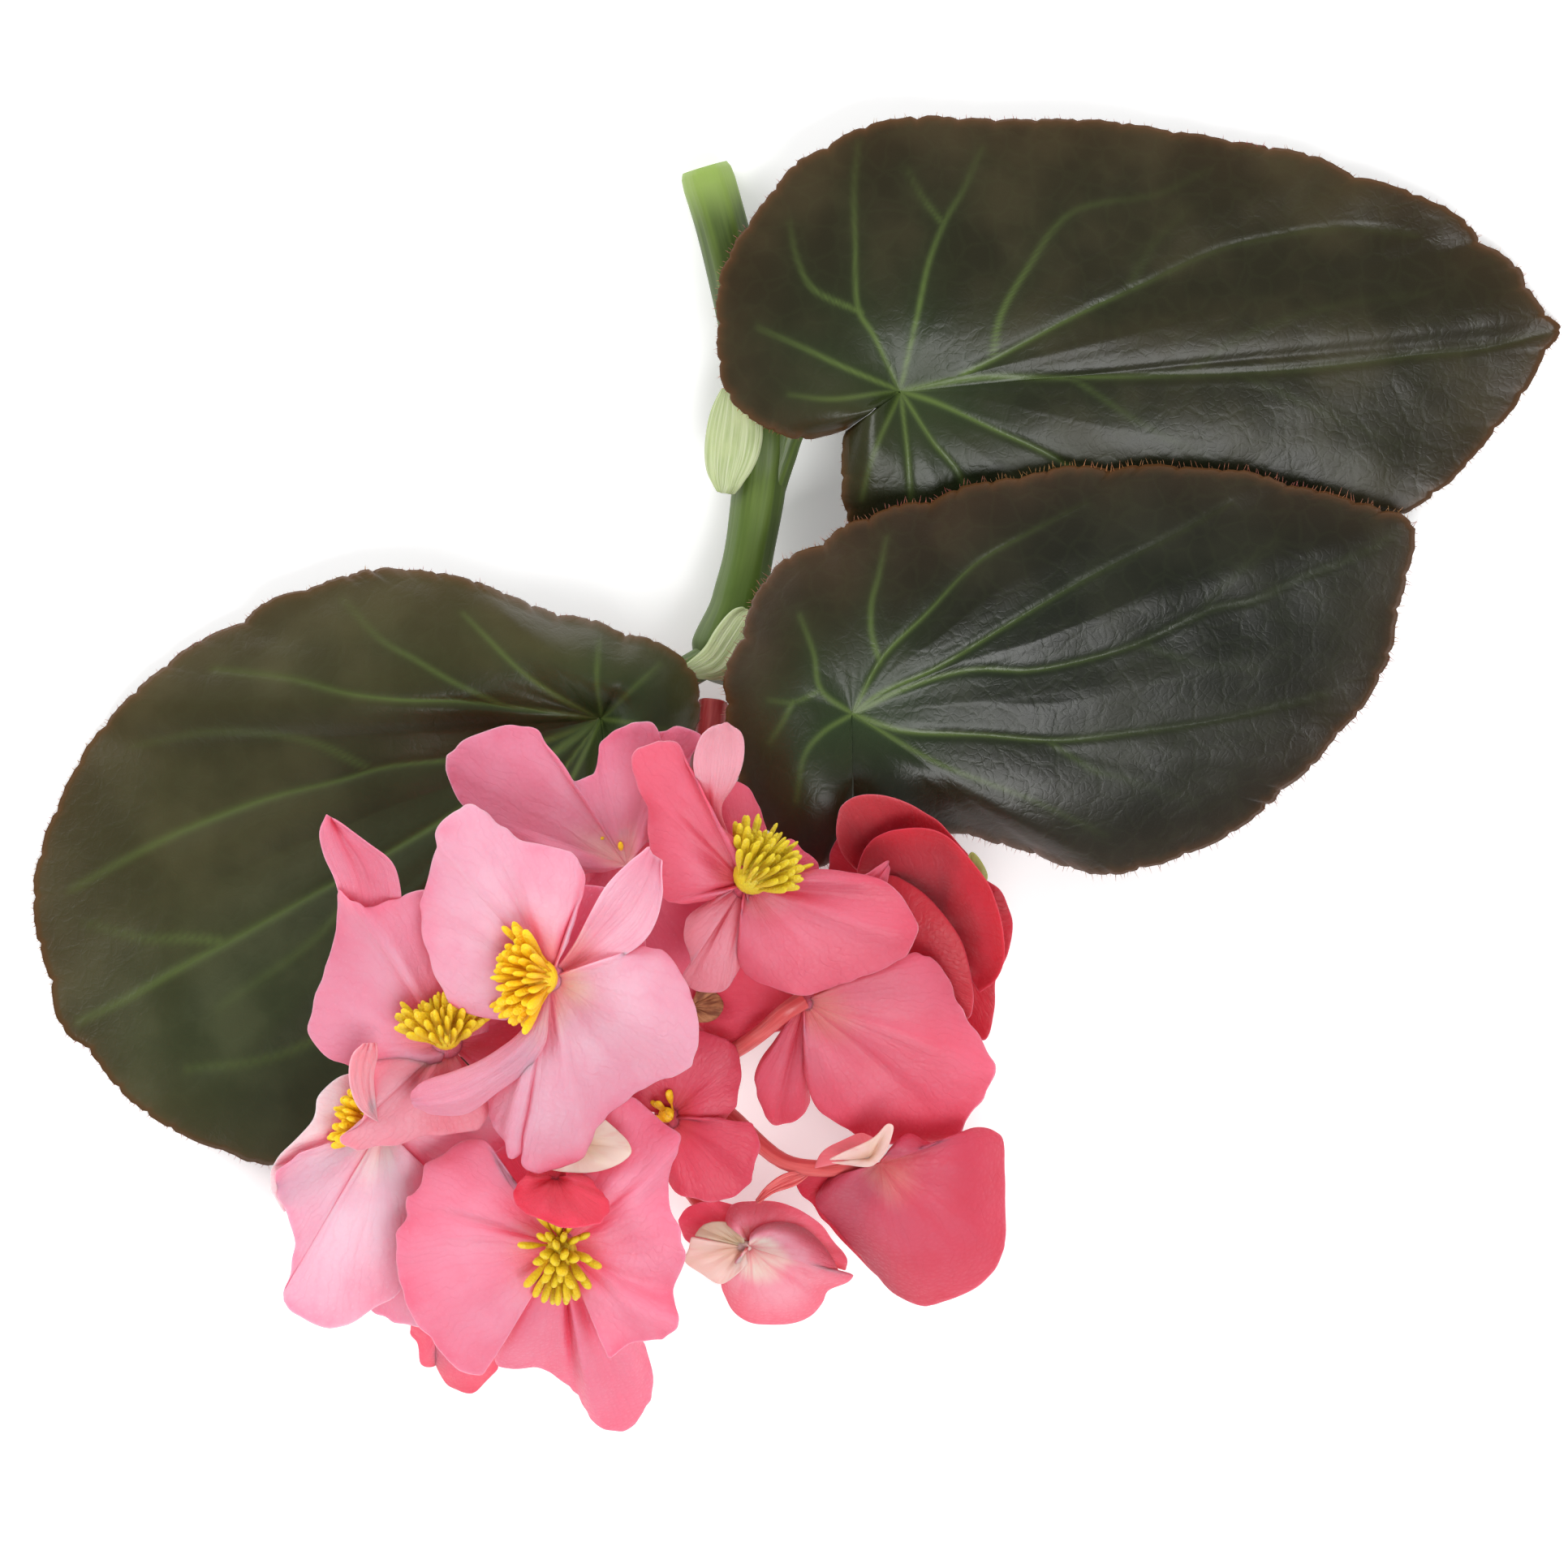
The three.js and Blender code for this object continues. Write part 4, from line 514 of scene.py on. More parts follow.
def leaf_blade(heart, bow, rim, veins, bronze, ridge=0.0, ridges=1, ridge_width=15, fade=0.85):
    """A blade, grown from its heart to its rim, with the marks that its material reads.

    bow lifts its middle, ridge raises it along its first veins, as many as ridges says, and fade
    is how much of their colour the veins lose on their way out.
    """
    root = Vector(heart)
    columns = (len(rim) - 1) * LEAF_STEPS
    edge = [margin(rim, k / columns) for k in range(columns + 1)]
    near, widths = vein_map(veins)
    main, main_widths = vein_map(veins, MAIN_VEIN)
    crests, _ = vein_map(veins[:ridges])
    way = Vector((*bronze, 0)).normalized()

    def spot(s, t):
        point, out, tooth = edge[round(s * columns)]
        place = root.lerp(point, t) + out * (tooth * ease(0.9, 1, t))
        _, k, away = main.find(Vector((place.x, place.y, 0)))
        bulge = 1 - math.exp(-((away / QUILT_REACH) ** 1.4))
        place.z += bow * 4 * t * (1 - t) + QUILT * bulge * math.sin(math.pi * 0.85 * t)
        aside = crests.find(Vector((place.x, place.y, 0)))[2]
        place.z += ridge * math.exp(-((aside / ridge_width) ** 2)) * math.sin(math.pi * t)
        place.z -= GROOVE * math.exp(-((away / (0.7 * main_widths[k])) ** 2)) * ease(0.04, 0.2, t)
        place.z += 0.7 * t**4 * math.sin(2 * math.pi * 8.5 * s) + 0.25 * noise.noise(place * 0.16) * t
        if place.z < SETTLE:  # the blade comes to rest on the surface in a soft curve
            place.z = LYING + (SETTLE - LYING) * math.exp((place.z - SETTLE) / (SETTLE - LYING))
        return place

    blade = lay(columns, LEAF_ROWS, spot)
    marks = blade.data.attributes.new("leaf_marks", "FLOAT_COLOR", "POINT")
    rim_spots = kdtree.KDTree(len(edge))
    for k, (point, out, tooth) in enumerate(edge):
        rim_spots.insert(Vector((point.x, point.y, 0)) + out * tooth, k)
    rim_spots.balance()
    for vertex, mark in zip(blade.data.vertices, marks.data):
        flat = Vector((vertex.co.x / MM, vertex.co.y / MM, 0))
        _, k, away = near.find(flat)
        outwards = flat - Vector((root.x, root.y, 0))
        from_heart = outwards.length
        half_width = max(0.4 * widths[k], 0.42 + 0.25 * ease(20, 60, from_heart))
        vein = math.exp(-((away / half_width) ** 2)) * min(widths[k] / 0.75, 1)
        vein *= 1 - fade * ease(5, 50, from_heart)
        inward = rim_spots.find(flat)[2]
        border = max(math.exp(-inward / 0.8), 0.2 * math.exp(-inward / 5))
        green = 0.7 * math.exp(-((from_heart / 13) ** 2))
        green += 0.4 * math.exp(-away / 1.6) * (1 - ease(8, 60, from_heart))
        side = ease(-12, 16, outwards.dot(way))
        mark.color = (vein, border, min(green, 1), side)
    return thicken(blade, LEAF_THICK, 0)


LEAF_TONES = {  # the bronze side's darker and lighter tone, then the green side's
    "leaf_upper": [(32, 30, 15), (48, 44, 25), (23, 27, 13), (40, 41, 24)],
    "leaf_middle": [(32, 26, 15), (46, 37, 23), (20, 23, 14), (31, 33, 21)],
    "leaf_left": [(51, 49, 25), (63, 60, 34), (46, 52, 28), (60, 65, 39)],
}


def leaf_skin(name, bronze_dark, bronze_light, green_dark, green_light):
    """A blade's material, in its own tones."""
    material, tree, shader, _ = skin(name, 0.34, 0.0, Specular_IOR_Level=0.36)
    marks = node(tree, "ShaderNodeAttribute", attribute_name="leaf_marks", attribute_type="GEOMETRY")
    parted = node(tree, "ShaderNodeSeparateColor", {0: marks.outputs["Color"]})
    body = filled(tree, flesh, {"Patch": 75.0, "Cells": 900.0})
    here = node(tree, "ShaderNodeTexCoord").outputs["Object"]
    warp = node(tree, "ShaderNodeTexNoise", {"Vector": here, "Scale": 320.0, "Detail": 2.0}).outputs["Color"]
    bent = node(tree, "ShaderNodeVectorMath", {0: warp, 1: (0.0022,) * 3}, operation="MULTIPLY")
    moved = node(tree, "ShaderNodeVectorMath", {0: here, 1: bent.outputs[0]}, operation="ADD")
    net, fine_net = (
        node(tree, "ShaderNodeTexVoronoi", {"Vector": moved.outputs[0], "Scale": scale},
             feature="DISTANCE_TO_EDGE").outputs["Distance"]
        for scale in (260.0, 900.0)
    )
    patch = body.outputs["Patches"]
    worn = spread(tree, patch, 0.35, 0.7)
    bronze = blend(tree, worn, tone(*bronze_dark), tone(*bronze_light))
    dark = blend(tree, worn, tone(*green_dark), tone(*green_light))
    colour = blend(tree, marks.outputs["Alpha"], dark, bronze)
    for mask, share, paler in (
        (spread(tree, net, 0.12, 0.0), 0.05, tone(64, 76, 44)),
        (parted.outputs["Blue"], 0.8, tone(36, 54, 26)),
        (parted.outputs["Red"], 0.7, tone(92, 112, 54)),
        (parted.outputs["Green"], 0.8, tone(98, 62, 34)),
    ):
        colour = blend(tree, times(tree, mask, share), colour, paler)
    matt = node(tree, "ShaderNodeMapRange", {0: patch, 1: 0.3, 2: 0.75, 3: 0.3, 4: 0.46})
    tree.links.new(matt.outputs[0], shader.inputs["Roughness"])
    relief = math_node(tree, "ADD", patch, times(tree, spread(tree, net, 0.0, 0.16), 0.12))
    relief = math_node(tree, "ADD", relief, times(tree, spread(tree, fine_net, 0.0, 0.2), 0.06))
    paint(tree, shader, colour, relief, 0.15)
    return material


HAIR_RADIUS = 0.07
# How many hairs, and how long
HAIRS = {"leaf_upper": (330, 0.8), "leaf_middle": (420, 1.15), "leaf_left": (330, 0.8)}

hair_red, tree, shader, _ = skin("hair_red", 0.5, 0.2)
worn = spread(tree, filled(tree, flesh, {"Patch": 90.0, "Cells": 1500.0}).outputs["Patches"], 0.4, 0.65)
paint(tree, shader, blend(tree, worn, tone(150, 58, 62), tone(176, 120, 66)))


def copies(name, model, placings):
    """A copy of the model, with its own mesh, at each placing, all in one piece. The model goes."""
    made = []
    for placing in placings:
        copy = bpy.data.objects.new(name, model.data.copy())
        copy.data.transform(placing)
        bpy.context.collection.objects.link(copy)
        made.append(copy)
    bpy.data.objects.remove(model)
    return fuse(name, made)


def pointing(way, long, wide, place):
    """Turns a model that points along +Z to point this way at a place, scaled to its size in mm."""
    turn = Vector((0, 0, 1)).rotation_difference(way).to_matrix().to_4x4()
    size = Matrix.Diagonal((wide * MM, wide * MM, long * MM, 1))
    return Matrix.Translation(MM * Vector(place)) @ turn @ size


draw = random.Random(7)
for name, shape in LEAVES.items():
    leaf = fuse(name + "_blade", [leaf_blade(**shape, veins=VEINS[name], bronze=BRONZE_SIDE[name])])
    leaf.data.materials.append(leaf_skin(name + "_skin", *LEAF_TONES[name]))
    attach(leaf, "root")
    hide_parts(name)
    count, length = HAIRS[name]
    placings = []
    for k in range(count):
        point, out, tooth = margin(shape["rim"], (k + draw.random()) / count)
        astray = Vector((draw.uniform(-1, 1), draw.uniform(-1, 1), draw.uniform(-0.2, 0.9)))
        way = (out + 0.5 * astray).normalized()
        foot = point + out * (tooth - 0.15)
        foot.z = max(foot.z, LEAF_THICK / 2)
        placings.append(pointing(way, length * draw.uniform(0.6, 1.3), HAIR_RADIUS, foot))
    bpy.ops.mesh.primitive_cone_add(vertices=3, radius1=1, radius2=0.15, depth=1, location=(0, 0, 0.5))
    hair = bpy.context.object
    bpy.ops.object.transform_apply(location=True, rotation=True, scale=True)
    fringe = copies(name + "_hairs", hair, placings)
    fringe.data.materials.append(hair_red)
    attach(fringe, "root")

# ---------------------------------------------------------------- Petals of the blooms
# Thin, juicy petals that let light through, each bloom's set grown on one heart. They
# are paler towards the heart, with fine branching veins, soft waves and a turned edge.
# A bloom's colours are those at its heart, in its middle, at its rim and at its deepest, and then the
# painted shade in its folds.
BLOOMS = {
    "bloom_a": {
        "slot": "petal_pink", "heart": (-35.5, -29.5, 51),
        "colours": [(250, 220, 190), (238, 174, 190), (236, 156, 175), (234, 126, 150), (230, 92, 118)],
        "tuft": dict(lean=(-0.9, 0.0, 0.3), reach=10.2, count=66, spread=0.95, club=0.72),
    },
    "bloom_b": {
        "slot": "petal_pink", "heart": (-50.5, -39, 42),
        "colours": [(250, 214, 190), (236, 154, 173), (234, 134, 155), (228, 108, 133), (222, 78, 102)],
        "tuft": dict(lean=(-0.1, 0.85, 0.35), reach=9, count=60, spread=1.0, club=0.66, olive=0.45),
    },
    "bloom_c": {
        "slot": "petal_pink", "heart": (-60, -51, 32.5),
        "colours": [(250, 234, 226), (238, 188, 202), (236, 164, 182), (232, 130, 154), (228, 92, 118)],
        "tuft": dict(lean=(-0.9, 0.3, 0.15), reach=8.4, count=34, spread=0.62, club=0.72),
    },
    "bloom_d": {
        "slot": "petal_pink", "heart": (-34, -68.5, 38),
        "colours": [(244, 196, 184), (234, 144, 165), (232, 126, 149), (224, 98, 124), (222, 76, 100)],
        "tuft": dict(lean=(-0.05, -0.5, 0.85), reach=8.6, count=36, spread=1.25, narrow=0.47, club=0.9,
                     olive=0.55),
    },
    "bloom_e": {
        "slot": "petal_dusky", "heart": (-7.5, -16, 43),
        "colours": [(246, 186, 194), (226, 112, 132), (220, 96, 116), (210, 74, 96), (198, 58, 78)],
        "tuft": dict(lean=(0.55, 0.6, 0.35), reach=10.4, count=60, spread=0.75, club=0.6, olive=0.75),
    },
    "bloom_f": {
        "slot": "petal_pink", "heart": (-25.5, -9.5, 33),
        "colours": [(242, 192, 182), (230, 138, 158), (228, 122, 145), (220, 92, 118), (216, 70, 93)],
        "tuft": dict(lean=(-0.1, 0.5, 0.8), reach=2.6, count=5),
    },
    "bloom_g": {
        "slot": "petal_dusky", "heart": (1, -33, 36),
        "colours": [(214, 134, 124), (214, 110, 128), (222, 98, 120), (206, 76, 96), (188, 58, 76)],
    },
    "bloom_h": {
        "slot": "petal_red", "heart": (21, -22.5, 24),
        "colours": [(146, 80, 80), (180, 58, 70), (190, 48, 60), (160, 42, 52), (144, 34, 44)],
    },
    "bloom_k": {
        "slot": "petal_dusky", "heart": (-18.5, -50, 26),
        "colours": [(224, 132, 132), (212, 90, 110), (206, 78, 98), (196, 60, 82), (180, 46, 62)],
        "tuft": dict(lean=(-0.6, 0.5, 0.45), reach=4.2, count=8, spread=0.9),
    },
    "seed_flower_i": {
        "slot": "petal_red", "heart": (11.5, -60, 29),
        "colours": [(204, 126, 118), (186, 78, 98), (188, 62, 84), (178, 44, 64), (156, 36, 50)],
    },
    "seed_flower_j": {
        "slot": "petal_dusky", "heart": (-6.2, -68.6, 19),
        "colours": [(238, 206, 194), (240, 150, 164), (234, 100, 122), (222, 72, 96), (216, 88, 100)],
    },
    "seed_flower_l": {
        "slot": "petal_red", "heart": (-35, -58.5, 39.5),
        "colours": [(214, 64, 80), (226, 84, 102), (216, 68, 88), (196, 46, 66), (190, 42, 58)],
    },
    "bud_m": {
        "slot": "petal_red", "heart": (-51, -79, 12),
        "colours": [(238, 140, 140), (238, 108, 130), (234, 90, 112), (220, 62, 88), (196, 46, 62)],
    },
}
# Each bloom's petals, with the points along their rims or in the rows across them
# A petal that lies under others and has a high tint is painted that deep for the shade it lies in: painted
# shade.
PETALS = {}
PETALS["bloom_a"] = [
    dict(bow=2.5, ruffle=0.8, pleats=0.9, creases=[(0.12, 1.6, 0.05), (0.4, 0.7, 0.07), (0.75, 0.6, 0.08)],
         rim=[
        (-32.5, -23.5, 53), (-31.5, -19.5, 54), (-30.5, -15, 55), (-31, -13, 55), (-33, -11, 55),
        (-39.5, -9.8, 54), (-42.7, -7.7, 53), (-46.5, -4.8, 52), (-49, -5.4, 51), (-52.4, -8.6, 50),
        (-52, -11, 50), (-54, -17, 49), (-54.2, -20, 48.5), (-53.5, -24.5, 48.5), (-51, -31.5, 49),
        (-48, -34.5, 49.5), (-42, -36, 50.5),
    ]),
    dict(bow=-1.3, ruffle=0.2, rows=[
        [(-32, -24.5, 54), (-30.5, -28.7, 54)], [(-29.5, -19.7, 57), (-26, -27, 55.5)],
        [(-27.3, -16, 58), (-21.5, -23.8, 56)], [(-24.5, -13.2, 58), (-19.4, -18.5, 56.5)],
        [(-21.5, -10.7, 57.5), (-19.3, -12.5, 57)],
    ]),
    dict(bow=4, ruffle=1.0, waves=2.2, pleats=1.2, creases=[(0.35, 0.8, 0.06), (0.62, 0.9, 0.07)], rim=[
        (-22, -24.8, 54), (-19, -26, 53.5), (-16.2, -30, 52.5), (-14.2, -35, 51.5), (-14.3, -40.5, 50),
        (-15.7, -43, 49), (-19.9, -44.3, 48), (-23.3, -46.6, 47), (-27.5, -49.8, 46), (-29.4, -52.5, 45.3),
        (-30.5, -55.5, 44.6), (-33, -57, 44), (-37.3, -57.8, 43.6), (-39.4, -57, 43.5), (-40, -54.6, 43.6),
        (-41, -56, 43.5), (-42.4, -54.2, 43.6), (-43, -52.4, 43.7), (-44.4, -50, 44), (-44.3, -46.5, 44.4),
    ]),
    dict(bow=1.4, tint=0.45, ruffle=0.7, waves=1.4, rows=[
        [(-38, -34.5, 52), (-35.8, -35, 53)], [(-40, -37.5, 51.5), (-36.2, -39, 52.5)],
        [(-43, -39.8, 50.5), (-39, -43, 51)], [(-46, -41.6, 49.5), (-43, -46, 49)],
        [(-50, -43.2, 48), (-47.5, -49.2, 47.5)], [(-54.5, -44.8, 46.5), (-52, -49.3, 46.5)],
        [(-55.8, -46.5, 46), (-55, -48.3, 46)],
    ]),
    dict(tint=1.0, rim=[(-35, -17, 47), (-29, -16, 47), (-24, -19, 47), (-22, -25, 47.5), (-25, -30, 48)]),
]
PETALS["bloom_b"] = [
    dict(bow=1.5, ruffle=0.8, pleats=1.0, creases=[(0.3, 0.6, 0.06), (0.55, 0.5, 0.08)], rim=[
        (-44.5, -37.5, 43), (-45, -29, 43), (-48, -18, 43.5), (-52, -16.5, 43.8), (-56.5, -17.4, 44.5),
        (-60, -18.8, 45.2), (-62.4, -19.4, 45.2), (-64.5, -18.4, 44.4), (-66.2, -16.6, 43.6),
        (-66.4, -20, 42.4), (-67.4, -26, 40), (-70.2, -34, 38.5), (-70.4, -39, 38), (-65.6, -42.2, 38.5),
        (-58, -43.6, 39.5), (-51.5, -43, 40.5),
    ]),
    dict(bow=-0.6, tint=0.35, young=0.5, ruffle=0.3, nick=0.2, wide=True, creases=[(0.5, 0.9, 0.16)], rows=[
        [(-65.6, -20, 42), (-57, -20, 42)], [(-66.8, -15.4, 43.2), (-57.2, -16.6, 43.4)],
        [(-68.3, -12, 44.8), (-58.3, -13, 45)], [(-68.9, -8.6, 46.4), (-61.8, -10.2, 46.4)],
        [(-67.8, -5.9, 47.6), (-66.8, -6.6, 47.6)],
    ]),
    dict(bow=0.5, tint=-0.12, pleats=1.0, rim=[
        (-60, -41.2, 41.5), (-63.6, -44.4, 42), (-62.8, -50, 42), (-66.2, -53.2, 41.5),
        (-63.5, -54.5, 41.2), (-58, -53.6, 41), (-52, -52.3, 40.5), (-46, -51.8, 40), (-44.5, -49, 40.5),
        (-46, -44, 41.5),
    ]),
    dict(start=(-60.4, -50.6, 42.3), bow=-0.4, nick=0.2, tint=-0.2, young=0.45, rows=[
        [(-63.3, -48.4, 44.2), (-60.8, -47.4, 43.2)], [(-64.6, -44.6, 45.8), (-61, -43.6, 44.6)],
        [(-64.3, -41, 46.6), (-60.4, -40.6, 45.4)], [(-62.6, -39, 46.6), (-60.6, -39, 45.8)],
    ]),
    dict(bow=0.5, tint=0.6, rim=[
        (-45, -44.5, 41.5), (-40, -44, 41.5), (-36.5, -40.5, 41.5), (-37.5, -35.5, 42), (-42, -34, 42.5),
    ]),
]
PETALS["bloom_c"] = [
    dict(bow=1, tint=-0.45, pleats=1.0, ruffle=0.7, rim=[
        (-61, -45, 33), (-65.4, -43.2, 33), (-68.7, -46.5, 32.5), (-70.5, -51, 32), (-76, -56.6, 31),
        (-76.6, -59.4, 30), (-74.5, -64, 29),
    ]),
    dict(bow=1.3, ruffle=0.9, waves=3, pleats=0.7, creases=[(0.5, -0.8, 0.12), (0.3, 0.5, 0.08)], rim=[
        (-72, -55, 33), (-75.5, -57.5, 32.5), (-75.5, -61, 31.5), (-73.7, -65.2, 30), (-72.9, -69.4, 28.7),
        (-74, -74.5, 27), (-74.6, -76.3, 26.5), (-73.4, -78.4, 26), (-67.7, -80.8, 26), (-62.8, -78.6, 27),
        (-57, -75, 28), (-53, -66, 30), (-53, -58, 31),
    ]),
    dict(bow=2, tint=0.3, rim=[(-62.5, -78, 22), (-60, -79.7, 21.5), (-54, -80.5, 21), (-51, -74, 23)]),
    dict(bow=1, rim=[
        (-57, -61, 28), (-50, -59.5, 28.6), (-43, -57, 29), (-40.5, -52, 30), (-42, -47.5, 31),
        (-50, -46.5, 32),
    ]),
]
PETALS["bloom_d"] = [
    dict(bow=3, ruffle=0.8, waves=3, pleats=1.0, creases=[(0.42, 0.7, 0.08), (0.7, 0.6, 0.06)], rim=[
        (-43.2, -57.5, 38.5), (-44.6, -53.6, 38.3), (-46, -52.8, 38), (-49.8, -54.2, 38), (-54, -57, 38),
        (-54.9, -60.2, 37.9), (-56.4, -61.6, 37.8), (-56.5, -64, 37.6), (-58, -67, 37.3),
        (-58.1, -70, 36.9), (-57.4, -73.7, 36.3), (-55.7, -78.8, 35), (-52.3, -82.9, 34), (-50, -86, 33),
        (-45.5, -87.9, 32),
    ]),
    dict(bow=2, ruffle=1.2, waves=4, pleats=1.9, creases=[(0.3, 1.2, 0.045), (0.62, 0.9, 0.05)], rim=[
        (-27.5, -84.6, 37.5), (-22.5, -82.3, 38), (-19.4, -81.8, 38), (-16.9, -79.4, 38.5), (-18, -75, 39),
        (-15.9, -70.3, 40), (-17.2, -65, 40.5), (-18.5, -61, 40.5), (-17.6, -56.6, 39), (-17, -52.6, 38.4),
        (-20.2, -49.8, 38), (-23.3, -47, 37.5), (-27.5, -46.5, 36.5),
    ]),
    dict(bow=6, tint=0.5, ruffle=0.9, pleats=1.8, creases=[(0.42, 1.5, 0.06), (0.7, 1.0, 0.06)], rim=[
        (-41, -76, 30), (-44, -86.5, 24), (-38, -86.2, 22), (-35, -88, 19), (-32.6, -90, 16),
        (-31, -92.4, 13.5), (-28.6, -95.6, 10.5), (-24.4, -96, 10), (-21.8, -92.4, 12), (-21.1, -88.3, 16),
        (-22, -83, 21),
    ]),
    dict(tint=0.9, rim=[(-45, -57, 34), (-41, -52.5, 33.5), (-34, -50.5, 33.5), (-26, -51, 34)]),
]
PETALS["bloom_e"] = [
    dict(bow=3, pleats=0.9, creases=[(0.3, 0.5, 0.08), (0.86, 0.8, 0.05)], rim=[
        (-7.3, -12, 46), (-9.4, -9.5, 49), (-12.5, -5, 50), (-15.1, 0.3, 49), (-17.2, 4, 47),
        (-20, 4.3, 46), (-24, 2.5, 45), (-22.8, -1.4, 45), (-21.6, -5.5, 45), (-21.6, -10, 45),
        (-20, -15, 44.5), (-19.2, -18.1, 44), (-16.8, -18.9, 44), (-12, -18, 43.5),
    ]),
    dict(bow=1.5, tint=-0.35, pleats=0.9, nick=0.4, creases=[(0.5, 0.3, 0.12)], rim=[
        (-12.5, -18.5, 41), (-16, -21, 41), (-16.4, -23.5, 41), (-15.4, -27.5, 41), (-16.3, -29.2, 41),
        (-15.4, -31.2, 40.5), (-11.4, -31.8, 40), (-9.2, -30, 40.5), (-7.2, -24, 42), (-6.5, -20.5, 43),
    ]),
    dict(bow=2.5, ruffle=0.9, waves=2.2, pleats=1.0, creases=[(0.35, 0.7, 0.06), (0.7, 0.8, 0.07)], rim=[
        (-8.3, -22, 43), (-8.2, -28.2, 43), (-4, -31, 42.5), (1.3, -32.4, 42), (6.5, -30.7, 42),
        (12, -28.4, 42), (16.5, -25.6, 42), (17.4, -22.5, 42), (15.1, -18, 42.5), (12, -15.5, 43),
        (6, -14.3, 44), (0.3, -14.5, 44),
    ]),
    dict(bow=0, rim=[
        (-4.6, -12.5, 40), (-4.4, -9, 38.5), (-5.6, -5, 37.6), (-7.2, -1.6, 37), (-10.8, -1.4, 38),
        (-11.4, -10, 40),
    ]),
    dict(bow=0.5, rim=[
        (-4, -11.5, 40), (-0.8, -9.7, 38.5), (1.7, -11.4, 38), (3.2, -13.5, 38), (3, -16.5, 39),
    ]),
    dict(bow=0.6, tint=-0.5, pleats=0.3, rows=[
        [(-11.5, -10.5, 44), (-9.5, -10, 44)], [(-12.8, -5, 46.5), (-11, -5, 46.5)],
        [(-14.4, -1.5, 48), (-8.8, -1.5, 48)], [(-15, 1.5, 49), (-7.6, 2.4, 49)],
        [(-14, 5, 49.5), (-8, 5.8, 49.5)], [(-12, 7, 49.5), (-10, 7.4, 49.5)],
    ]),
    dict(bow=0.4, rows=[
        [(0, -15, 41), (0, -17, 41)], [(6, -15.2, 40.5), (8, -19, 40.5)],
        [(9.7, -14.8, 40.5), (12, -18, 40.5)], [(12.8, -12.7, 41), (13.5, -14, 41)],
    ]),
]
PETALS["bloom_f"] = [
    dict(start=(-24.6, -13.4, 36), bow=0.8, ruffle=0.5, pleats=0.9, rim=[
        (-28, -14.5, 35), (-36, -14, 35), (-42, -9.5, 35), (-46, -6.5, 35), (-49, -4, 35), (-51, 1.5, 35),
        (-48.7, 4.4, 35), (-43.3, 6.6, 35.5), (-39, 6.9, 36), (-36.5, 4.5, 36.5), (-33.2, 0.2, 37),
        (-31.8, -1.2, 37.2), (-30.2, -0.6, 37.4), (-28.8, 2.1, 38), (-28, 4.6, 38.2), (-25, 6.7, 38.2),
        (-21, 7, 38), (-19.2, 4, 38), (-19, -2, 38), (-20, -8, 37),
    ]),
    dict(bow=1, tint=0.5, rim=[
        (-20.5, 6, 33.5), (-17, 6.6, 33.5), (-13.7, 5.4, 33), (-15.2, 2, 33), (-18, -6, 33),
    ]),
    dict(bow=1, tint=0.8, rim=[
        (-30.5, -14, 32), (-32, -21, 30), (-28, -27, 28), (-21, -33, 26.5), (-13.5, -34, 26.5),
        (-11, -30, 27), (-9, -23, 29), (-9, -16, 31), (-14, -11, 32),
    ]),
]
PETALS["bloom_g"] = [
    dict(bow=2.5, ruffle=0.7, pleats=0.9, creases=[(0.3, 0.6, 0.06), (0.6, 0.6, 0.08)], rim=[
        (17, -25.8, 35.5), (19.3, -26.6, 35), (22, -30, 34), (24.1, -34.2, 32.5), (27, -38.8, 31),
        (28.6, -43.4, 29.5), (27.9, -46.2, 28.5), (25.2, -49.6, 27), (23.2, -53, 25.5), (16, -54, 26),
        (11.4, -53.8, 27), (6.2, -51.4, 28), (2, -47.5, 29), (0.9, -40, 32),
    ]),
    dict(bow=1.5, tint=0.3, creases=[(0.5, 0.9, 0.1)], rim=[
        (1.5, -40, 29), (1.9, -47, 25.5), (1, -49.6, 24.5), (-2, -51.3, 24), (-4, -50.8, 24.5),
        (-6, -47, 26), (-6, -43.5, 28), (-3, -38.5, 32),
    ]),
    dict(bow=0.5, tint=0.7, rim=[
        (-2, -37.5, 32), (-6, -38.5, 29.5), (-9.5, -40.4, 27), (-12, -39.5, 26), (-14.6, -36.5, 25.5),
        (-14.6, -31, 26), (-8, -27, 30), (-1.5, -27, 34),
    ]),
]
